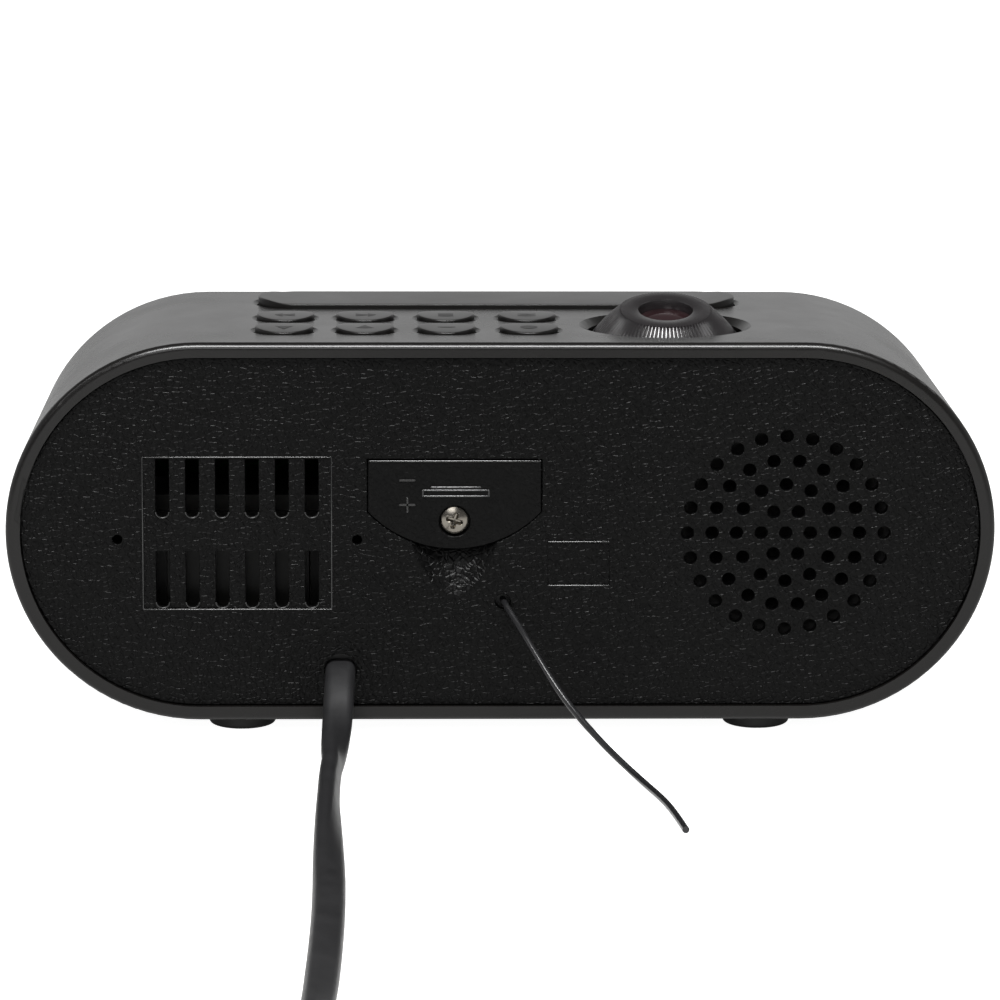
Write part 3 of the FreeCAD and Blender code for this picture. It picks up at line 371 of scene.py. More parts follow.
def metal(name, colour, roughness, grain=2500.0, depth=0.00002):
    """A bare metal, drawn or stamped, with a fine uneven grain in its gloss."""
    material, tree = start_material(name)
    place = add(tree, "TexCoord").outputs["Object"]
    cloud = add(tree, "TexNoise", {"Scale": grain, "Detail": 2.0}, {"Vector": place})
    gloss = add(tree, "MapRange", {"To Min": roughness * 0.8, "To Max": roughness * 1.25},
                {"Value": cloud.outputs[0]})
    finish_surface(tree, {"Base Color": linear(colour), "Metallic": 1.0},
                   {"Roughness": gloss.outputs[0]}, cloud.outputs[0], depth, 0.4)
    return material


def spun_x(name, x_and_radius, y, z, count=28):
    """A turned shape about a line along X, from (x, radius) stations."""
    angle = np.linspace(0, 2 * np.pi, count, endpoint=False)
    x = np.repeat(np.array([p[0] for p in x_and_radius])[:, None], count, 1)
    radius = np.array([p[1] for p in x_and_radius])
    return grid_mesh(name, np.stack([x, y + np.outer(radius, np.cos(angle)),
                                     z + np.outer(radius, np.sin(angle))], -1), around=True)


nickel_brass = metal("nickel_plated_brass", "#c9b98a", 0.22)
plug_length, pin_offset = 30.0, 9.3
pin_stations = [(0, 0), (0, 1.9), (17.2, 1.98), (18.5, 1.5), (18.95, 0.7), (19, 0)]
sleeve_stations = [(0, 0), (0, 2.0), (9.8, 2.0), (10, 1.85), (10, 0)]


def plug_rod(name, stations, side):
    """A turned rod that stands out of the plug's face, from (distance out, radius) stations."""
    face = plug_rear[0] - plug_length
    return spun_x(name, [(face - out, radius) for out, radius in stations],
                  plug_rear[1] + side * pin_offset, plug_rear[2])


pins = [plug_rod("pin", pin_stations, side) for side in (-1, 1)]
sleeves = [plug_rod("sleeve", sleeve_stations, side) for side in (-1, 1)]
plug_pins = piece("plug_contacts", joined("plug_contacts", pins), nickel_brass, "housing")
pin_sleeves = piece("pin_sleeves", joined("pin_sleeves", sleeves), black_pvc, "housing")
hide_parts("plug_pins")


# Antenna: a thin single-core wire in black PVC that hangs out of its hole and lies on the table,
# cut off square and bare at its end. The photograph shows all of it.
antenna_route = [(-0.4, 31.6, 25.95), (-1.0, 35.6, 25.3), (-3.4, 40.6, 22.5), (-6.5, 45.5, 18.2),
                 (-9.9, 50.5, 13.5), (-13.6, 55.2, 9.3), (-18.2, 61.0, 5.2), (-22.2, 66.8, 2.4),
                 (-25.9, 74.5, 0.65), (-28.9, 86.5, 0.65), (-30.6, 97.0, 0.65), (-31.75, 107.0, 0.65)]
wire_radius = 0.65
wire = bpy.data.curves.new("antenna_skin", "CURVE")
wire.dimensions = "3D"
wire.resolution_u = 10
wire.bevel_depth = wire_radius * MM
wire.bevel_resolution = 5
wire.use_fill_caps = True
wire_spline = wire.splines.new("NURBS")
wire_spline.points.add(len(antenna_route) - 1)
wire_spline.points.foreach_set("co", np.c_[np.array(antenna_route) * MM,
                                           np.ones(len(antenna_route))].ravel())
wire_spline.order_u = 3
wire_spline.use_endpoint_u = True
antenna = bpy.data.objects.new("antenna_skin", wire)
antenna.data.materials.append(pvc("black_pvc_wire", 0.14, 0.24))
bpy.context.scene.collection.objects.link(antenna)
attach(antenna, "housing")
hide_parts("antenna_wire")


# Outer shell: a moulded ABS sleeve, dark warm grey, with the fine satin skin of a spark-eroded
# mould. The CAD's own surface is used, merged and shaded smooth.
def even_out(made):
    """Shading that follows a piece's large faces, so that flat faces look flat up to their edges."""
    even = made.modifiers.new("even_shading", "WEIGHTED_NORMAL")
    even.keep_sharp = True
    even.weight = 90


def merged_copy(node, material, body, sharp=28.0):
    """A copy of a CAD node with its loose triangles merged into flat faces, smooth over its curves."""
    tidy = bmesh.new()
    tidy.from_mesh(nodes[node].data)
    bmesh.ops.remove_doubles(tidy, verts=tidy.verts, dist=1e-6)
    bmesh.ops.dissolve_limit(tidy, angle_limit=np.radians(0.3), verts=tidy.verts, edges=tidy.edges)
    mesh = bpy.data.meshes.new(node + "_skin")
    tidy.to_mesh(mesh)
    tidy.free()
    made = piece(node + "_skin", mesh, material, body, sharp)
    even_out(made)
    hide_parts(node)
    return made


def moulded_abs(name, colour, darker, roughness, grain=0.22, depth=0.000012, specular=0.5):
    """ABS from a spark-eroded mould: a fine even pebble of the given grain in millimetres, and a
    faint cloudiness in colour and gloss."""
    material, tree = start_material(name)
    place = add(tree, "TexCoord").outputs["Object"]
    cloud = add(tree, "TexNoise", {"Scale": 45.0, "Detail": 4.0, "Roughness": 0.6}, {"Vector": place})
    pebble = add(tree, "TexNoise", {"Scale": 1000.0 / grain, "Detail": 2.0}, {"Vector": place})
    tone = add(tree, "ValToRGB", None, {"Fac": cloud.outputs[0]})
    tone.color_ramp.elements[0].position = 0.3
    tone.color_ramp.elements[0].color = linear(darker)
    tone.color_ramp.elements[1].position = 0.7
    tone.color_ramp.elements[1].color = linear(colour)
    gloss = add(tree, "MapRange", {"From Min": 0.3, "From Max": 0.7, "To Min": roughness - 0.03,
                                   "To Max": roughness + 0.03}, {"Value": cloud.outputs[0]})
    finish_surface(tree, {"IOR": 1.53, "Specular IOR Level": specular},
                   {"Base Color": tone.outputs[0], "Roughness": gloss.outputs[0]},
                   pebble.outputs[0], depth, 0.5)
    return material


shell_abs = moulded_abs("satin_abs_shell", "#0e0d0c", "#0b0a0a", 0.26, specular=0.32)
merged_copy("outer_shell", shell_abs, "housing")


# Rear panel and battery drawer: black ABS moulded against a leather-grained mould, a fine net of
# creases round soft bumps about a millimetre wide.
def grained_abs(name, colour, crease_shade, depth):
    """Leather grain: rounded bumps between the edges of bent Voronoi cells about a millimetre wide,
    with finer noise over them, and creases coloured darker as painted shade. depth is that of the relief, in
    metres."""
    material, tree = start_material(name)
    place = add(tree, "TexCoord").outputs["Object"]
    wobble = add(tree, "TexNoise", {"Scale": 500.0, "Detail": 2.0}, {"Vector": place})
    bent = add(tree, "VectorMath", {"operation": "MULTIPLY_ADD", 1: (0.0009, 0.0009, 0.0009)},
               {0: wobble.outputs["Color"], 2: place})
    cells = add(tree, "TexVoronoi", {"feature": "DISTANCE_TO_EDGE", "Scale": 950.0},
                {"Vector": bent.outputs[0]})
    bumps = add(tree, "MapRange", {"From Max": 0.22, "interpolation_type": "SMOOTHSTEP"},
                {"Value": cells.outputs[0]})
    uneven = add(tree, "TexNoise", {"Scale": 700.0, "Detail": 3.0}, {"Vector": place})
    relief = add(tree, "Math", {"operation": "MULTIPLY_ADD", 1: 0.55},
                 {0: bumps.outputs[0], 2: uneven.outputs[0]})
    # Painted shade: the creases between the bumps take the darker crease colour, the shade of the hollows.
    tone = add(tree, "ValToRGB", None, {"Fac": bumps.outputs[0]})
    tone.color_ramp.elements[0].color = linear(crease_shade)
    tone.color_ramp.elements[1].color = linear(colour)
    gloss = add(tree, "MapRange", {"To Min": 0.26, "To Max": 0.42}, {"Value": uneven.outputs[0]})
    finish_surface(tree, {"IOR": 1.53, "Specular IOR Level": 0.11},
                   {"Base Color": tone.outputs[0], "Roughness": gloss.outputs[0]},
                   relief.outputs[0], depth, 1.0)
    return material


# The second colour of each is the painted shade in the creases of the grain.
panel_abs = grained_abs("leather_grained_abs", "#040404", "#020202", 0.00016)
panel = merged_copy("rear_panel", panel_abs, "housing", 12)
drawer_abs = grained_abs("fine_grained_abs", "#050505", "#030303", 0.00008)
drawer = merged_copy("battery_drawer", drawer_abs, "battery_drawer", 12)


def eased(moulding, width=0.14, angle=50.0):
    """Soft moulded corners of the given width in millimetres, worked out before any shading modifier
    that the piece already has."""
    round_off = moulding.modifiers.new("eased_corners", "BEVEL")
    round_off.width = width * MM
    round_off.segments = 2
    round_off.limit_method = "ANGLE"
    round_off.use_clamp_overlap = False
    round_off.angle_limit = np.radians(angle)
    if len(moulding.modifiers) > 1:
        moulding.modifiers.move(len(moulding.modifiers) - 1, 0)


for moulding in (panel, drawer):
    eased(moulding, 0.12)
rib_abs = moulded_abs("polished_abs_ribs", "#101010", "#0c0c0c", 0.22, specular=0.8)


# Marks on the drawer: a thin outline of the cell seen from its side, with a minus above and a plus
# below, raised from the moulding as narrow ribs. One more rib is the drawer's crisp top edge.
def bar_mesh(name, low, high):
    """A closed box between two corners, in millimetres."""
    x, y, z = zip(low, high)
    corners = np.array([[(x[i], y[j], z[k]) for i, k in ((0, 0), (1, 0), (1, 1), (0, 1))] for j in (0, 1)])
    ends = corners.mean(axis=1, keepdims=True).repeat(4, 1)
    return grid_mesh(name, np.concatenate([ends[:1], corners, ends[1:]]), around=True)


def rib(face, proud, x0, x1, z0, z1):
    """A raised line: a box from just under a face square to Y to the given height over it."""
    root = 0.2
    return bar_mesh("rib", (x0, face - root, z0), (x1, face + proud, z1))


door_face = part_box("battery_drawer")[1].y / MM
mark_proud, w = 0.22, 0.36
x0, x1, z0, z1 = 2.2, 15.2, 46.5, 48.6
lid_inset, shoulder_drop, lid_line = 1.6, 0.7, 0.95
cell_outline = [(x0, x1, z0, z0 + w), (x0 + lid_inset, x1 - lid_inset, z1 - w, z1),
                (x0, x0 + w, z0, z1 - shoulder_drop), (x1 - w, x1, z0, z1 - shoulder_drop),
                (x0, x1, z1 - lid_line, z1 - lid_line + w)]
top_edge = [(-7.6, 25.4, 53.35, 53.35 + w)]
minus = [(16.4, 19.6, 49.6, 49.6 + 1.2 * w)]
plus = [(16.4, 19.6, 44.8, 44.8 + 1.2 * w), (17.8, 17.8 + w, 43.4, 46.5)]
marks = [rib(door_face, mark_proud, *line) for line in cell_outline + top_edge + minus + plus]
polarity = piece("polarity_marks", joined("polarity_marks", marks), rib_abs, "battery_drawer")
eased(polarity)


# Ribs on the panel, moulded in one with it: a thin raised frame round the vent field, and two short
# level lines beside the drawer.
panel_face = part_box("rear_panel")[1].y / MM
frame_proud, w = 0.06, 0.22
x0, x1, z0, z1 = 32.4, 68.8, 24.35, 54.4
vent_frame = [(x0, x1, z0, z0 + w), (x0, x1, z1 - w, z1), (x0, x0 + w, z0, z1), (x1 - w, x1, z0, z1)]
short_lines = [(-20.9, -9.0, level, level + w) for level in (29.0, 37.6)]
panel_ribs = [rib(panel_face, frame_proud, *line) for line in vent_frame + short_lines]
ribs_on_panel = piece("panel_ribs", joined("panel_ribs", panel_ribs), rib_abs, "housing")
eased(ribs_on_panel, 0.09)


# Slot lips: the rounded lower end of each vent slot, where the moulding catches the light.
slot_width, lip_bead = 2.6, 0.16
slot_middle, slot_pitch = 50.6, 5.72
slot_bottoms = (42.48, 24.78)
lip_points, bead_points = 15, 8


def slot_lip(x, z):
    """A thin bead, a circle of points carried along the half round at a slot's lower end."""
    along = np.radians(np.linspace(188, 352, lip_points))[:, None]
    across = np.linspace(0, 2 * np.pi, bead_points, endpoint=False)
    reach = slot_width / 2 + lip_bead * np.cos(across)
    depth = np.tile(panel_face + lip_bead * (np.sin(across) - 0.3), (lip_points, 1))
    points = np.stack([x + np.cos(along) * reach, depth, z + slot_width / 2 + np.sin(along) * reach], -1)
    ends = points[[0, -1]].mean(axis=1, keepdims=True).repeat(bead_points, 1)
    return grid_mesh("lip", np.concatenate([ends[:1], points, ends[1:]]), around=True)


lips = [slot_lip(slot_middle + slot_pitch * (k - 2.5), z) for k in range(6) for z in slot_bottoms]
piece("slot_lips", joined("slot_lips", lips), rib_abs, "housing")


# Drawer screw: a nickel-plated pan-head screw with a cross recess, sunk in its well. Its cross stands
# at a slight turn, as the photograph shows it.
screw_low, screw_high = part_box("drawer_screw")
screw_x = (screw_low.x + screw_high.x) / 2 / MM
screw_z = (screw_low.z + screw_high.z) / 2 / MM
screw_top = screw_high.y / MM
head_radius, head_height = 2.6, 1.6
shank_radius, shank_length = 1.2, 6.5
cross_turn = np.radians(17)


def cross_screw(name, x, top, z, out, radius, height, shank_radius, shank_length):
    """A pan head on a grid of rings and spokes: domed, with a cross cut whose walls slope inwards.
    out is +1 or -1, the way the head faces along Y."""
    ring = np.linspace(0, 1, 18)[:, None]
    spoke = np.linspace(0, 2 * np.pi, 72, endpoint=False)[None]
    a, b = ring * radius * np.cos(spoke), ring * radius * np.sin(spoke)
    rise = 0.22 * radius
    arm, reach = 0.17 * radius, 0.62 * radius
    arm_slope, end_slope = 0.25, 0.3
    dome = rise * (1 - ring ** 2) + 0 * spoke
    along_arm = np.abs(a * np.cos(cross_turn) + b * np.sin(cross_turn))
    across_arm = np.abs(b * np.cos(cross_turn) - a * np.sin(cross_turn))
    far, near = np.maximum(along_arm, across_arm), np.minimum(along_arm, across_arm)
    inside = np.clip((arm - near) / arm_slope, 0, 1) * np.clip((reach - far) / end_slope, 0, 1)
    deep = inside * 0.85 * height * (1 - 0.35 * np.minimum(far, reach) / reach)
    rings = [np.stack([x + a, top - out * (rise - dome + deep), z + b], -1)]
    for r, d in ((radius, 0.5 * height), (radius, height), (shank_radius, height),
                 (shank_radius, height + shank_length), (0, height + shank_length)):
        level = np.full_like(spoke, top - out * (rise + 0.8 * d))
        rings.append(np.stack([x + r * np.cos(spoke), level, z + r * np.sin(spoke)], -1))
    return grid_mesh(name, np.concatenate(rings), around=True)


nickel = metal("nickel_plated_steel", "#8a857d", 0.22)
screw_mesh = cross_screw("drawer_screw_skin", screw_x, screw_top, screw_z, 1, head_radius, head_height,
                         shank_radius, shank_length)
door_screw = piece("drawer_screw_skin", screw_mesh, nickel, "battery_drawer", 40)
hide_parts("drawer_screw")


# Keys: round satin ABS caps with a soft edge, on a flange that keeps them in the shell. Their tops
# are hollowed from left to right, and each carries a plain symbol in a matt ink.
key_abs = moulded_abs("satin_abs_keys", "#0e0d0c", "#0b0a0a", 0.3, specular=0.28)


def spun_z(name, radius_and_height, x, y, count=64):
    """A turned shape about an upright line, from (radius, height) stations."""
    angle = np.linspace(0, 2 * np.pi, count, endpoint=False)
    radius = np.array([p[0] for p in radius_and_height])
    z = np.repeat(np.array([p[1] for p in radius_and_height])[:, None], count, 1)
    return grid_mesh(name, np.stack([x + np.outer(radius, np.cos(angle)),
                                     y + np.outer(radius, np.sin(angle)), z], -1), around=True)


def cap_profile(radius, flange, low, high, crown=0.12, soft=0.25, steps=6):
    """Stations of a cap: its flange from the rim up, an upright wall, a quarter round and a dome."""
    bend = np.linspace(0, np.pi / 2, steps)
    edge = [(radius - soft + soft * np.cos(t), high - soft - crown + soft * np.sin(t)) for t in bend]
    dome = [(r, high - crown * (r / (radius - soft)) ** 2) for r in np.linspace(radius - soft, 0, steps)[1:]]
    return [(flange, low), (flange, low + 1.0), (radius, low + 1.0)] + edge + dome


def prism(name, outline, low, high):
    """An upright prism from a closed outline of (x, y) points, its ends filled as fans."""
    outline = np.array(outline)
    ring = [np.c_[outline, np.full(len(outline), z)] for z in (low, high)]
    tips = [np.repeat(r.mean(axis=0)[None], len(outline), 0) for r in ring]
    return grid_mesh(name, np.stack([tips[0], ring[0], ring[1], tips[1]]), around=True)


def polygon(x, y, radius, sides, turn=0.0):
    """The corners of a regular polygon about a point, the first at the angle turn."""
    angle = np.linspace(0, 2 * np.pi, sides, endpoint=False) + turn
    return np.stack([x + radius * np.cos(angle), y + radius * np.sin(angle)], -1)


def bar_outline(x, y, length, width):
    """The corners of a rectangle about a point, its length along X."""
    return np.array([(x - length / 2, y - width / 2), (x + length / 2, y - width / 2),
                     (x + length / 2, y + width / 2), (x - length / 2, y + width / 2)])


def key_symbol(number, x, y):
    """Outlines of the plain symbol on each key: arrows, bars, a dot or a square."""
    shapes = {1: [polygon(x, y, 2.1, 3, np.pi / 2)], 2: [polygon(x, y, 2.1, 3, -np.pi / 2)],
              3: [bar_outline(x, y, 3.4, 0.8)], 4: [polygon(x, y, 1.7, 24)],
              5: [polygon(x - 1.0, y, 1.7, 3, 0.0), polygon(x + 1.4, y, 1.7, 3, 0.0)],
              6: [polygon(x + 1.0, y, 1.7, 3, np.pi), polygon(x - 1.4, y, 1.7, 3, np.pi)],
              7: [polygon(x, y, 2.1, 4, np.pi / 4)],
              8: [bar_outline(x, y + 0.9, 3.6, 0.7), bar_outline(x, y - 0.9, 3.6, 0.7)]}
    return shapes[number]


key_radius, key_flange_radius = 5.6, 6.4
key_stem_radius = 1.6
flange_drop = 5.05
key_dish, dish_depth, dish_fade = 0.42, 1.3, 0.4
sign_low, sign_high = 0.7, 0.38


def dished(mesh, x, reach, top):
    """A cap hollowed along X, so that its left and right ends stand higher than its middle: points
    near the top sink by one minus the square of their share of the reach."""
    points = np.empty(len(mesh.vertices) * 3)
    mesh.vertices.foreach_get("co", points)
    points = points.reshape(-1, 3)
    share = np.clip((points[:, 0] / MM - x) / reach, -1, 1)
    near_top = np.clip((points[:, 2] / MM - (top - dish_depth)) / dish_fade, 0, 1)
    points[:, 2] -= key_dish * MM * (1 - share ** 2) * near_top
    mesh.vertices.foreach_set("co", points.ravel())
    return mesh


symbol_ink = moulded_abs("printed_symbol", "#141414", "#101010", 0.5)
for number in range(1, 9):
    key, body = "key_cap_%d" % number, "key_%d" % number
    low, high = (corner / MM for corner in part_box(body))
    x, y = (low.x + high.x) / 2, (low.y + high.y) / 2
    flange_low = high.z - flange_drop
    stem = [(0, low.z), (key_stem_radius, low.z), (key_stem_radius, flange_low)]
    cap_mesh = spun_z("key_cap", stem + cap_profile(key_radius, key_flange_radius, flange_low, high.z), x, y)
    cap = piece(key, dished(cap_mesh, x, key_radius, high.z), key_abs, body)
    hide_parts(body)
    signs = [prism("sign", outline, high.z - sign_low, high.z - sign_high)
             for outline in key_symbol(number, x, y)]
    piece("key_symbol_%d" % number, joined("key_symbol", signs), symbol_ink, body)


# Snooze bar: a long satin ABS cap with half-round ends, a softly crowned top, ends that rise a little,
# and a flange that keeps it in the shell.
def capsule_rings(x, y, length, width, stations, count=96):
    """Rings of a half-round-ended outline, each (inset, height)."""
    rings = []
    for inset, z in stations:
        angle = np.linspace(0, 2 * np.pi, count, endpoint=False)
        radius = width / 2 - inset
        reach = length / 2 - width / 2
        side = np.where(np.cos(angle) >= 0, 1.0, -1.0)
        rings.append(np.stack([x + side * reach + radius * np.cos(angle), y + radius * np.sin(angle),
                               np.full(count, z)], -1))
    return np.stack(rings)


low, high = (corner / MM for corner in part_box("snooze_bar"))
bar_x, bar_y = (low.x + high.x) / 2, (low.y + high.y) / 2
bar_flange, flange_height = 0.8, 1.0
bar_width, bar_length = high.y - low.y - 2 * bar_flange, high.x - low.x - 2 * bar_flange
soft, crown = 0.25, 0.05
end_rise, rise_reach, rise_fade = 0.45, 5.5, 4.5
edge = [(soft - soft * np.cos(t) if t else 0.0, high.z - crown - soft + soft * np.sin(t))
        for t in np.linspace(0, np.pi / 2, 7)]
top = [(i, high.z - crown * (1 - (i - soft) / (bar_width / 2 - soft)) ** 2)
       for i in np.linspace(soft, bar_width / 2, 9)[1:]]
foot_z = high.z - 4.24
under = [(bar_width / 2, foot_z - flange_height), (-bar_flange, foot_z - flange_height),
         (-bar_flange, foot_z), (0.0, foot_z)]
bar_points = capsule_rings(bar_x, bar_y, bar_length, bar_width, under + edge + top)
end_share = np.clip((np.abs(bar_points[..., 0] - bar_x) - bar_length / 2 + rise_reach) / rise_fade, 0, 1)
near_top = np.clip((bar_points[..., 2] - high.z + dish_depth) / dish_fade, 0, 1)
bar_points[..., 2] += end_rise * end_share ** 2 * (3 - 2 * end_share) * near_top
bar = piece("snooze_bar_skin", grid_mesh("snooze_bar_skin", bar_points, around=True), key_abs, "snooze_bar")
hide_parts("snooze_bar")


# Projector head: a black ball that tilts in the opening, with a knurled focus ring on top. The ring
# flares like a bevel gear, and each fine ridge runs down its flank; the lens sits in a well.
joint = {j["name"]: j for j in frame["joints"]}
pivot = np.array(joint["projector_tilt"]["pos_m"]) / MM
head_axis = np.array(joint["focus_turn"]["axis"])
head_axis /= np.linalg.norm(head_axis)
head_side = np.array([1.0, 0.0, 0.0])
head_up = np.cross(head_axis, head_side)


def set_on_head(points):
    """Points modelled upright about the head's axis, turned and moved to the head's place."""
    return pivot + points[..., :1] * head_side + points[..., 1:2] * head_up + points[..., 2:] * head_axis


knurl_count, knurl_depth = 84, 0.45
ring_base, ring_face = 4.2, 10.15
base_radius, face_radius = 14.1, 9.15
well_radius, ledge_level, barrel_level = 5.25, 6.25, 2.85
flank = [(13.2, ring_base, 0), (13.9, ring_base, 0.5)]
flank += [(base_radius + (face_radius - base_radius) * t + 0.3 * np.sin(np.pi * t),
           ring_base + 0.25 + (ring_face - ring_base - 0.5) * t, 1.0) for t in np.linspace(0, 1, 12)]
flank += [(face_radius - 0.15, ring_face - 0.08, 0.6), (face_radius - 0.5, ring_face, 0.0)]
barrel_radius, skirt_radius, skirt_level = 6.55, 11.15, ring_base + 2.15
inside = [(well_radius + 0.35, ring_face), (well_radius + 0.1, ring_face - 0.1),
          (well_radius, ring_face - 0.3), (well_radius, ledge_level),
          (well_radius - 0.8, ledge_level - 0.05), (well_radius - 0.8, barrel_level),
          (barrel_radius, barrel_level), (barrel_radius, skirt_level), (skirt_radius, skirt_level),
          (skirt_radius, ring_base), (13.2, ring_base)]
# Each station is (radius, height, share of the knurl's depth), and the ridges are flat-crested: a
# groove's depth goes as the square of half of one plus the cosine of its phase.
stations = flank + [(r, z, 0.0) for r, z in inside]
ridge_points = 8
angle = np.linspace(0, 2 * np.pi, knurl_count * ridge_points, endpoint=False)
groove = knurl_depth * (0.5 + 0.5 * np.cos(knurl_count * angle)) ** 2
radius = np.array([s[0] for s in stations])[:, None] - np.outer([s[2] for s in stations], groove)
height = np.repeat(np.array([s[1] for s in stations])[:, None], len(angle), 1)
ring_points = np.stack([radius * np.cos(angle), radius * np.sin(angle), height], -1)
ring_abs = moulded_abs("satin_abs_ring", "#1a1819", "#161415", 0.24, 0.18, specular=0.6)
ring = piece("focus_ring_skin", grid_mesh("focus_ring_skin", set_on_head(ring_points), around=True),
             ring_abs, "focus_wheel", 32)
even_out(ring)
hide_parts("focus_ring")
ball_abs = moulded_abs("satin_abs_ball", "#111112", "#0e0e0f", 0.34, 0.2, specular=0.3)
merged_copy("projector_ball", ball_abs, "projector")


# Lens: a dark coated acrylic lens, faintly red, domed, in the well of the ring.
def coated_lens(name):
    """Clear-coated dark acrylic, almost smooth, with a faint cloud in its colour."""
    material, tree = start_material(name)
    place = add(tree, "TexCoord").outputs["Object"]
    cloud = add(tree, "TexNoise", {"Scale": 160.0, "Detail": 1.0}, {"Vector": place})
    tone = add(tree, "ValToRGB", None, {"Fac": cloud.outputs[0]})
    tone.color_ramp.elements[0].color = linear("#2c1c1e")
    tone.color_ramp.elements[1].color = linear("#211819")
    finish_surface(tree, {"Roughness": 0.05, "IOR": 1.49, "Coat Weight": 0.6, "Coat Roughness": 0.03,
                          "Coat Tint": linear("#b89aa0")}, {"Base Color": tone.outputs[0]})
    return material


lens_glass = coated_lens("coated_acrylic_lens")
lens_radius, lens_foot, lens_edge, lens_rise = well_radius - 0.06, 6.27, 8.1, 0.75
lens_profile = [(0, lens_foot), (lens_radius, lens_foot), (lens_radius, lens_edge)]
lens_profile += [(r, lens_edge + lens_rise * (1 - (r / lens_radius) ** 2))
                 for r in np.linspace(lens_radius, 0, 14)[1:]]
lens_angle = np.linspace(0, 2 * np.pi, 72, endpoint=False)
radius, height = np.array(lens_profile).T
lens_points = np.stack([np.outer(radius, np.cos(lens_angle)), np.outer(radius, np.sin(lens_angle)),
                        np.repeat(height[:, None], len(lens_angle), 1)], -1)
lens = piece("lens_skin", grid_mesh("lens_skin", set_on_head(lens_points), around=True), lens_glass,
             "focus_wheel")
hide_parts("projector_lens")


# Display window: smoked acrylic, polished, glued in the front of the shell, with the light box and
# its unlit digit segments just behind it.
def smoked_acrylic(name):
    """Polished, see-through dark acrylic with a faint haze."""
    material, tree = start_material(name)
    place = add(tree, "TexCoord").outputs["Object"]
    haze = add(tree, "TexNoise", {"Scale": 60.0, "Detail": 3.0}, {"Vector": place})
    gloss = add(tree, "MapRange", {"To Min": 0.02, "To Max": 0.06}, {"Value": haze.outputs[0]})
    finish_surface(tree, {"Base Color": linear("#3a3a3d"), "IOR": 1.49, "Transmission Weight": 0.92},
                   {"Roughness": gloss.outputs[0]})
    return material


merged_copy("display_window", smoked_acrylic("smoked_acrylic"), "housing")
module_abs = moulded_abs("matt_abs_light_box", "#161616", "#111111", 0.6, 0.3)
segment_acrylic = moulded_abs("milky_acrylic_segment", "#d9d6cf", "#cfccc4", 0.35, 0.3)


# Everything inside: boards, switches, speaker, transformer and their screws, each in its own finish,
# seen through the vents, the grille and round the keys.
def laminate(name):
    """Glass-epoxy board under green solder mask, with paler copper tracks showing through."""
    material, tree = start_material(name)
    place = add(tree, "TexCoord").outputs["Object"]
    tracks = add(tree, "TexVoronoi", {"feature": "DISTANCE_TO_EDGE", "Scale": 260.0}, {"Vector": place})
    tone = add(tree, "ValToRGB", None, {"Fac": tracks.outputs[0]})
    tone.color_ramp.elements[0].color = linear("#2f6b3f")
    tone.color_ramp.elements[1].position = 0.08
    tone.color_ramp.elements[1].color = linear("#1d4a2b")
    finish_surface(tree, {"Roughness": 0.35}, {"Base Color": tone.outputs[0]},
                   tracks.outputs[0], 0.00003, 0.5)
    return material


def paper_cone(name):
    """Pressed black paper with a fibrous felt."""
    material, tree = start_material(name)
    place = add(tree, "TexCoord").outputs["Object"]
    fibre = add(tree, "TexNoise", {"Scale": 1500.0, "Detail": 4.0}, {"Vector": place})
    tone = add(tree, "ValToRGB", None, {"Fac": fibre.outputs[0]})
    tone.color_ramp.elements[0].color = linear("#0e0e0e")
    tone.color_ramp.elements[1].color = linear("#1c1b1a")
    finish_surface(tree, {"Roughness": 0.85}, {"Base Color": tone.outputs[0]},
                   fibre.outputs[0], 0.00008, 0.8)
    return material


def layered_steel(name):
    """Varnished core laminations, half a millimetre each, as fine lines through the stack."""
    material, tree = start_material(name)
    place = add(tree, "TexCoord").outputs["Object"]
    layers = add(tree, "TexWave", {"bands_direction": "Y", "Scale": 320.0, "Distortion": 0.3},
                 {"Vector": place})
    tone = add(tree, "ValToRGB", None, {"Fac": layers.outputs[0]})
    tone.color_ramp.elements[0].color = linear("#0d0d0d")
    tone.color_ramp.elements[1].color = linear("#242321")
    finish_surface(tree, {"Metallic": 0.3, "Roughness": 0.5}, {"Base Color": tone.outputs[0]},
                   layers.outputs[0], 0.00006, 0.6)
    return material


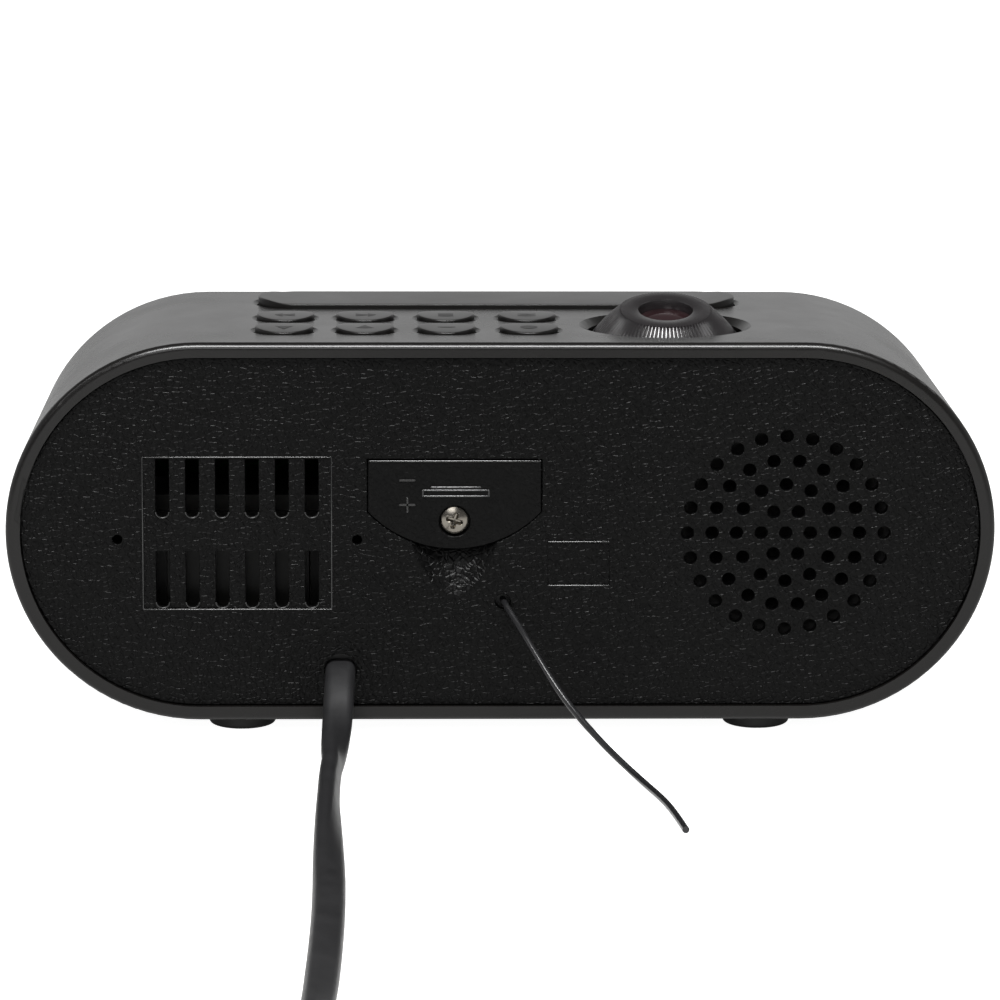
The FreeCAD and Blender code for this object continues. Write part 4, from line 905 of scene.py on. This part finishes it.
zinc = metal("zinc_plated_steel", "#a9a9a4", 0.32)
brass = metal("spring_brass", "#b99a4e", 0.25)
inside_finishes = [
    (module_abs, "module_abs", ["display_module"]),
    (segment_acrylic, "segment_acrylic", ["digit_segments"]),
    (laminate("green_laminate"), "board_laminate", ["main_board", "key_board"]),
    (moulded_abs("component_epoxy", "#1b1b1d", "#151516", 0.5), "component_epoxy",
     ["board_parts", "tact_switches"]),
    (zinc, "zinc_steel", ["main_board_screws", "key_board_screws", "cradle_screws", "speaker_screws",
                          "transformer_screws"]),
    (moulded_abs("satin_abs_cradle", "#161617", "#121213", 0.45), "projector_abs", ["projector_cradle"]),
    (moulded_abs("fr4_lamp_board", "#1f5130", "#1a4528", 0.4), "lamp_board", ["projector_lamp"]),
    (metal("bright_cell_steel", "#c4c4c2", 0.18), "cell_steel", ["coin_cell"]),
    (brass, "spring_brass", ["cell_contacts"]),
    (moulded_abs("stamped_black_basket", "#161616", "#101010", 0.45), "speaker_steel", ["speaker_basket"]),
    (paper_cone("pressed_paper_cone"), "speaker_paper", ["speaker_cone"]),
    (moulded_abs("ground_ferrite", "#26262a", "#1d1d20", 0.55, 0.4), "ferrite", ["speaker_magnet"]),
    (layered_steel("varnished_laminations"), "core_steel", ["transformer_core"]),
    (moulded_abs("black_winding_tape", "#131312", "#0f0f0e", 0.4, 0.5, specular=0.2), "winding_tape",
     ["transformer_winding"]),
    (moulded_abs("black_lacquered_strap", "#151515", "#101010", 0.45, specular=0.2), "strap_steel",
     ["transformer_strap"]),
    (moulded_abs("black_nylon", "#131313", "#0f0f0f", 0.5), "clamp_nylon", ["cord_clamp", "antenna_anchor"]),
]
body_names = {member: body for body, members in frame["record"]["behaviour"]["bodies"].items()
              for member in members}
for material, slot, members in inside_finishes:
    for member in members:
        merged_copy(member, material, body_names[member])


# Feet: four soft black rubber discs pressed into the bottom of the shell.
def soft_rubber(name):
    """Moulded rubber, matt, with a dusty unevenness."""
    material, tree = start_material(name)
    place = add(tree, "TexCoord").outputs["Object"]
    dust = add(tree, "TexNoise", {"Scale": 900.0, "Detail": 3.0}, {"Vector": place})
    tone = add(tree, "ValToRGB", None, {"Fac": dust.outputs[0]})
    tone.color_ramp.elements[0].color = linear("#0d0d0d")
    tone.color_ramp.elements[1].color = linear("#191919")
    finish_surface(tree, {"Roughness": 0.62}, {"Base Color": tone.outputs[0]},
                   dust.outputs[0], 0.00004, 0.6)
    return material


merged_copy("rubber_feet", soft_rubber("soft_rubber"), "housing")
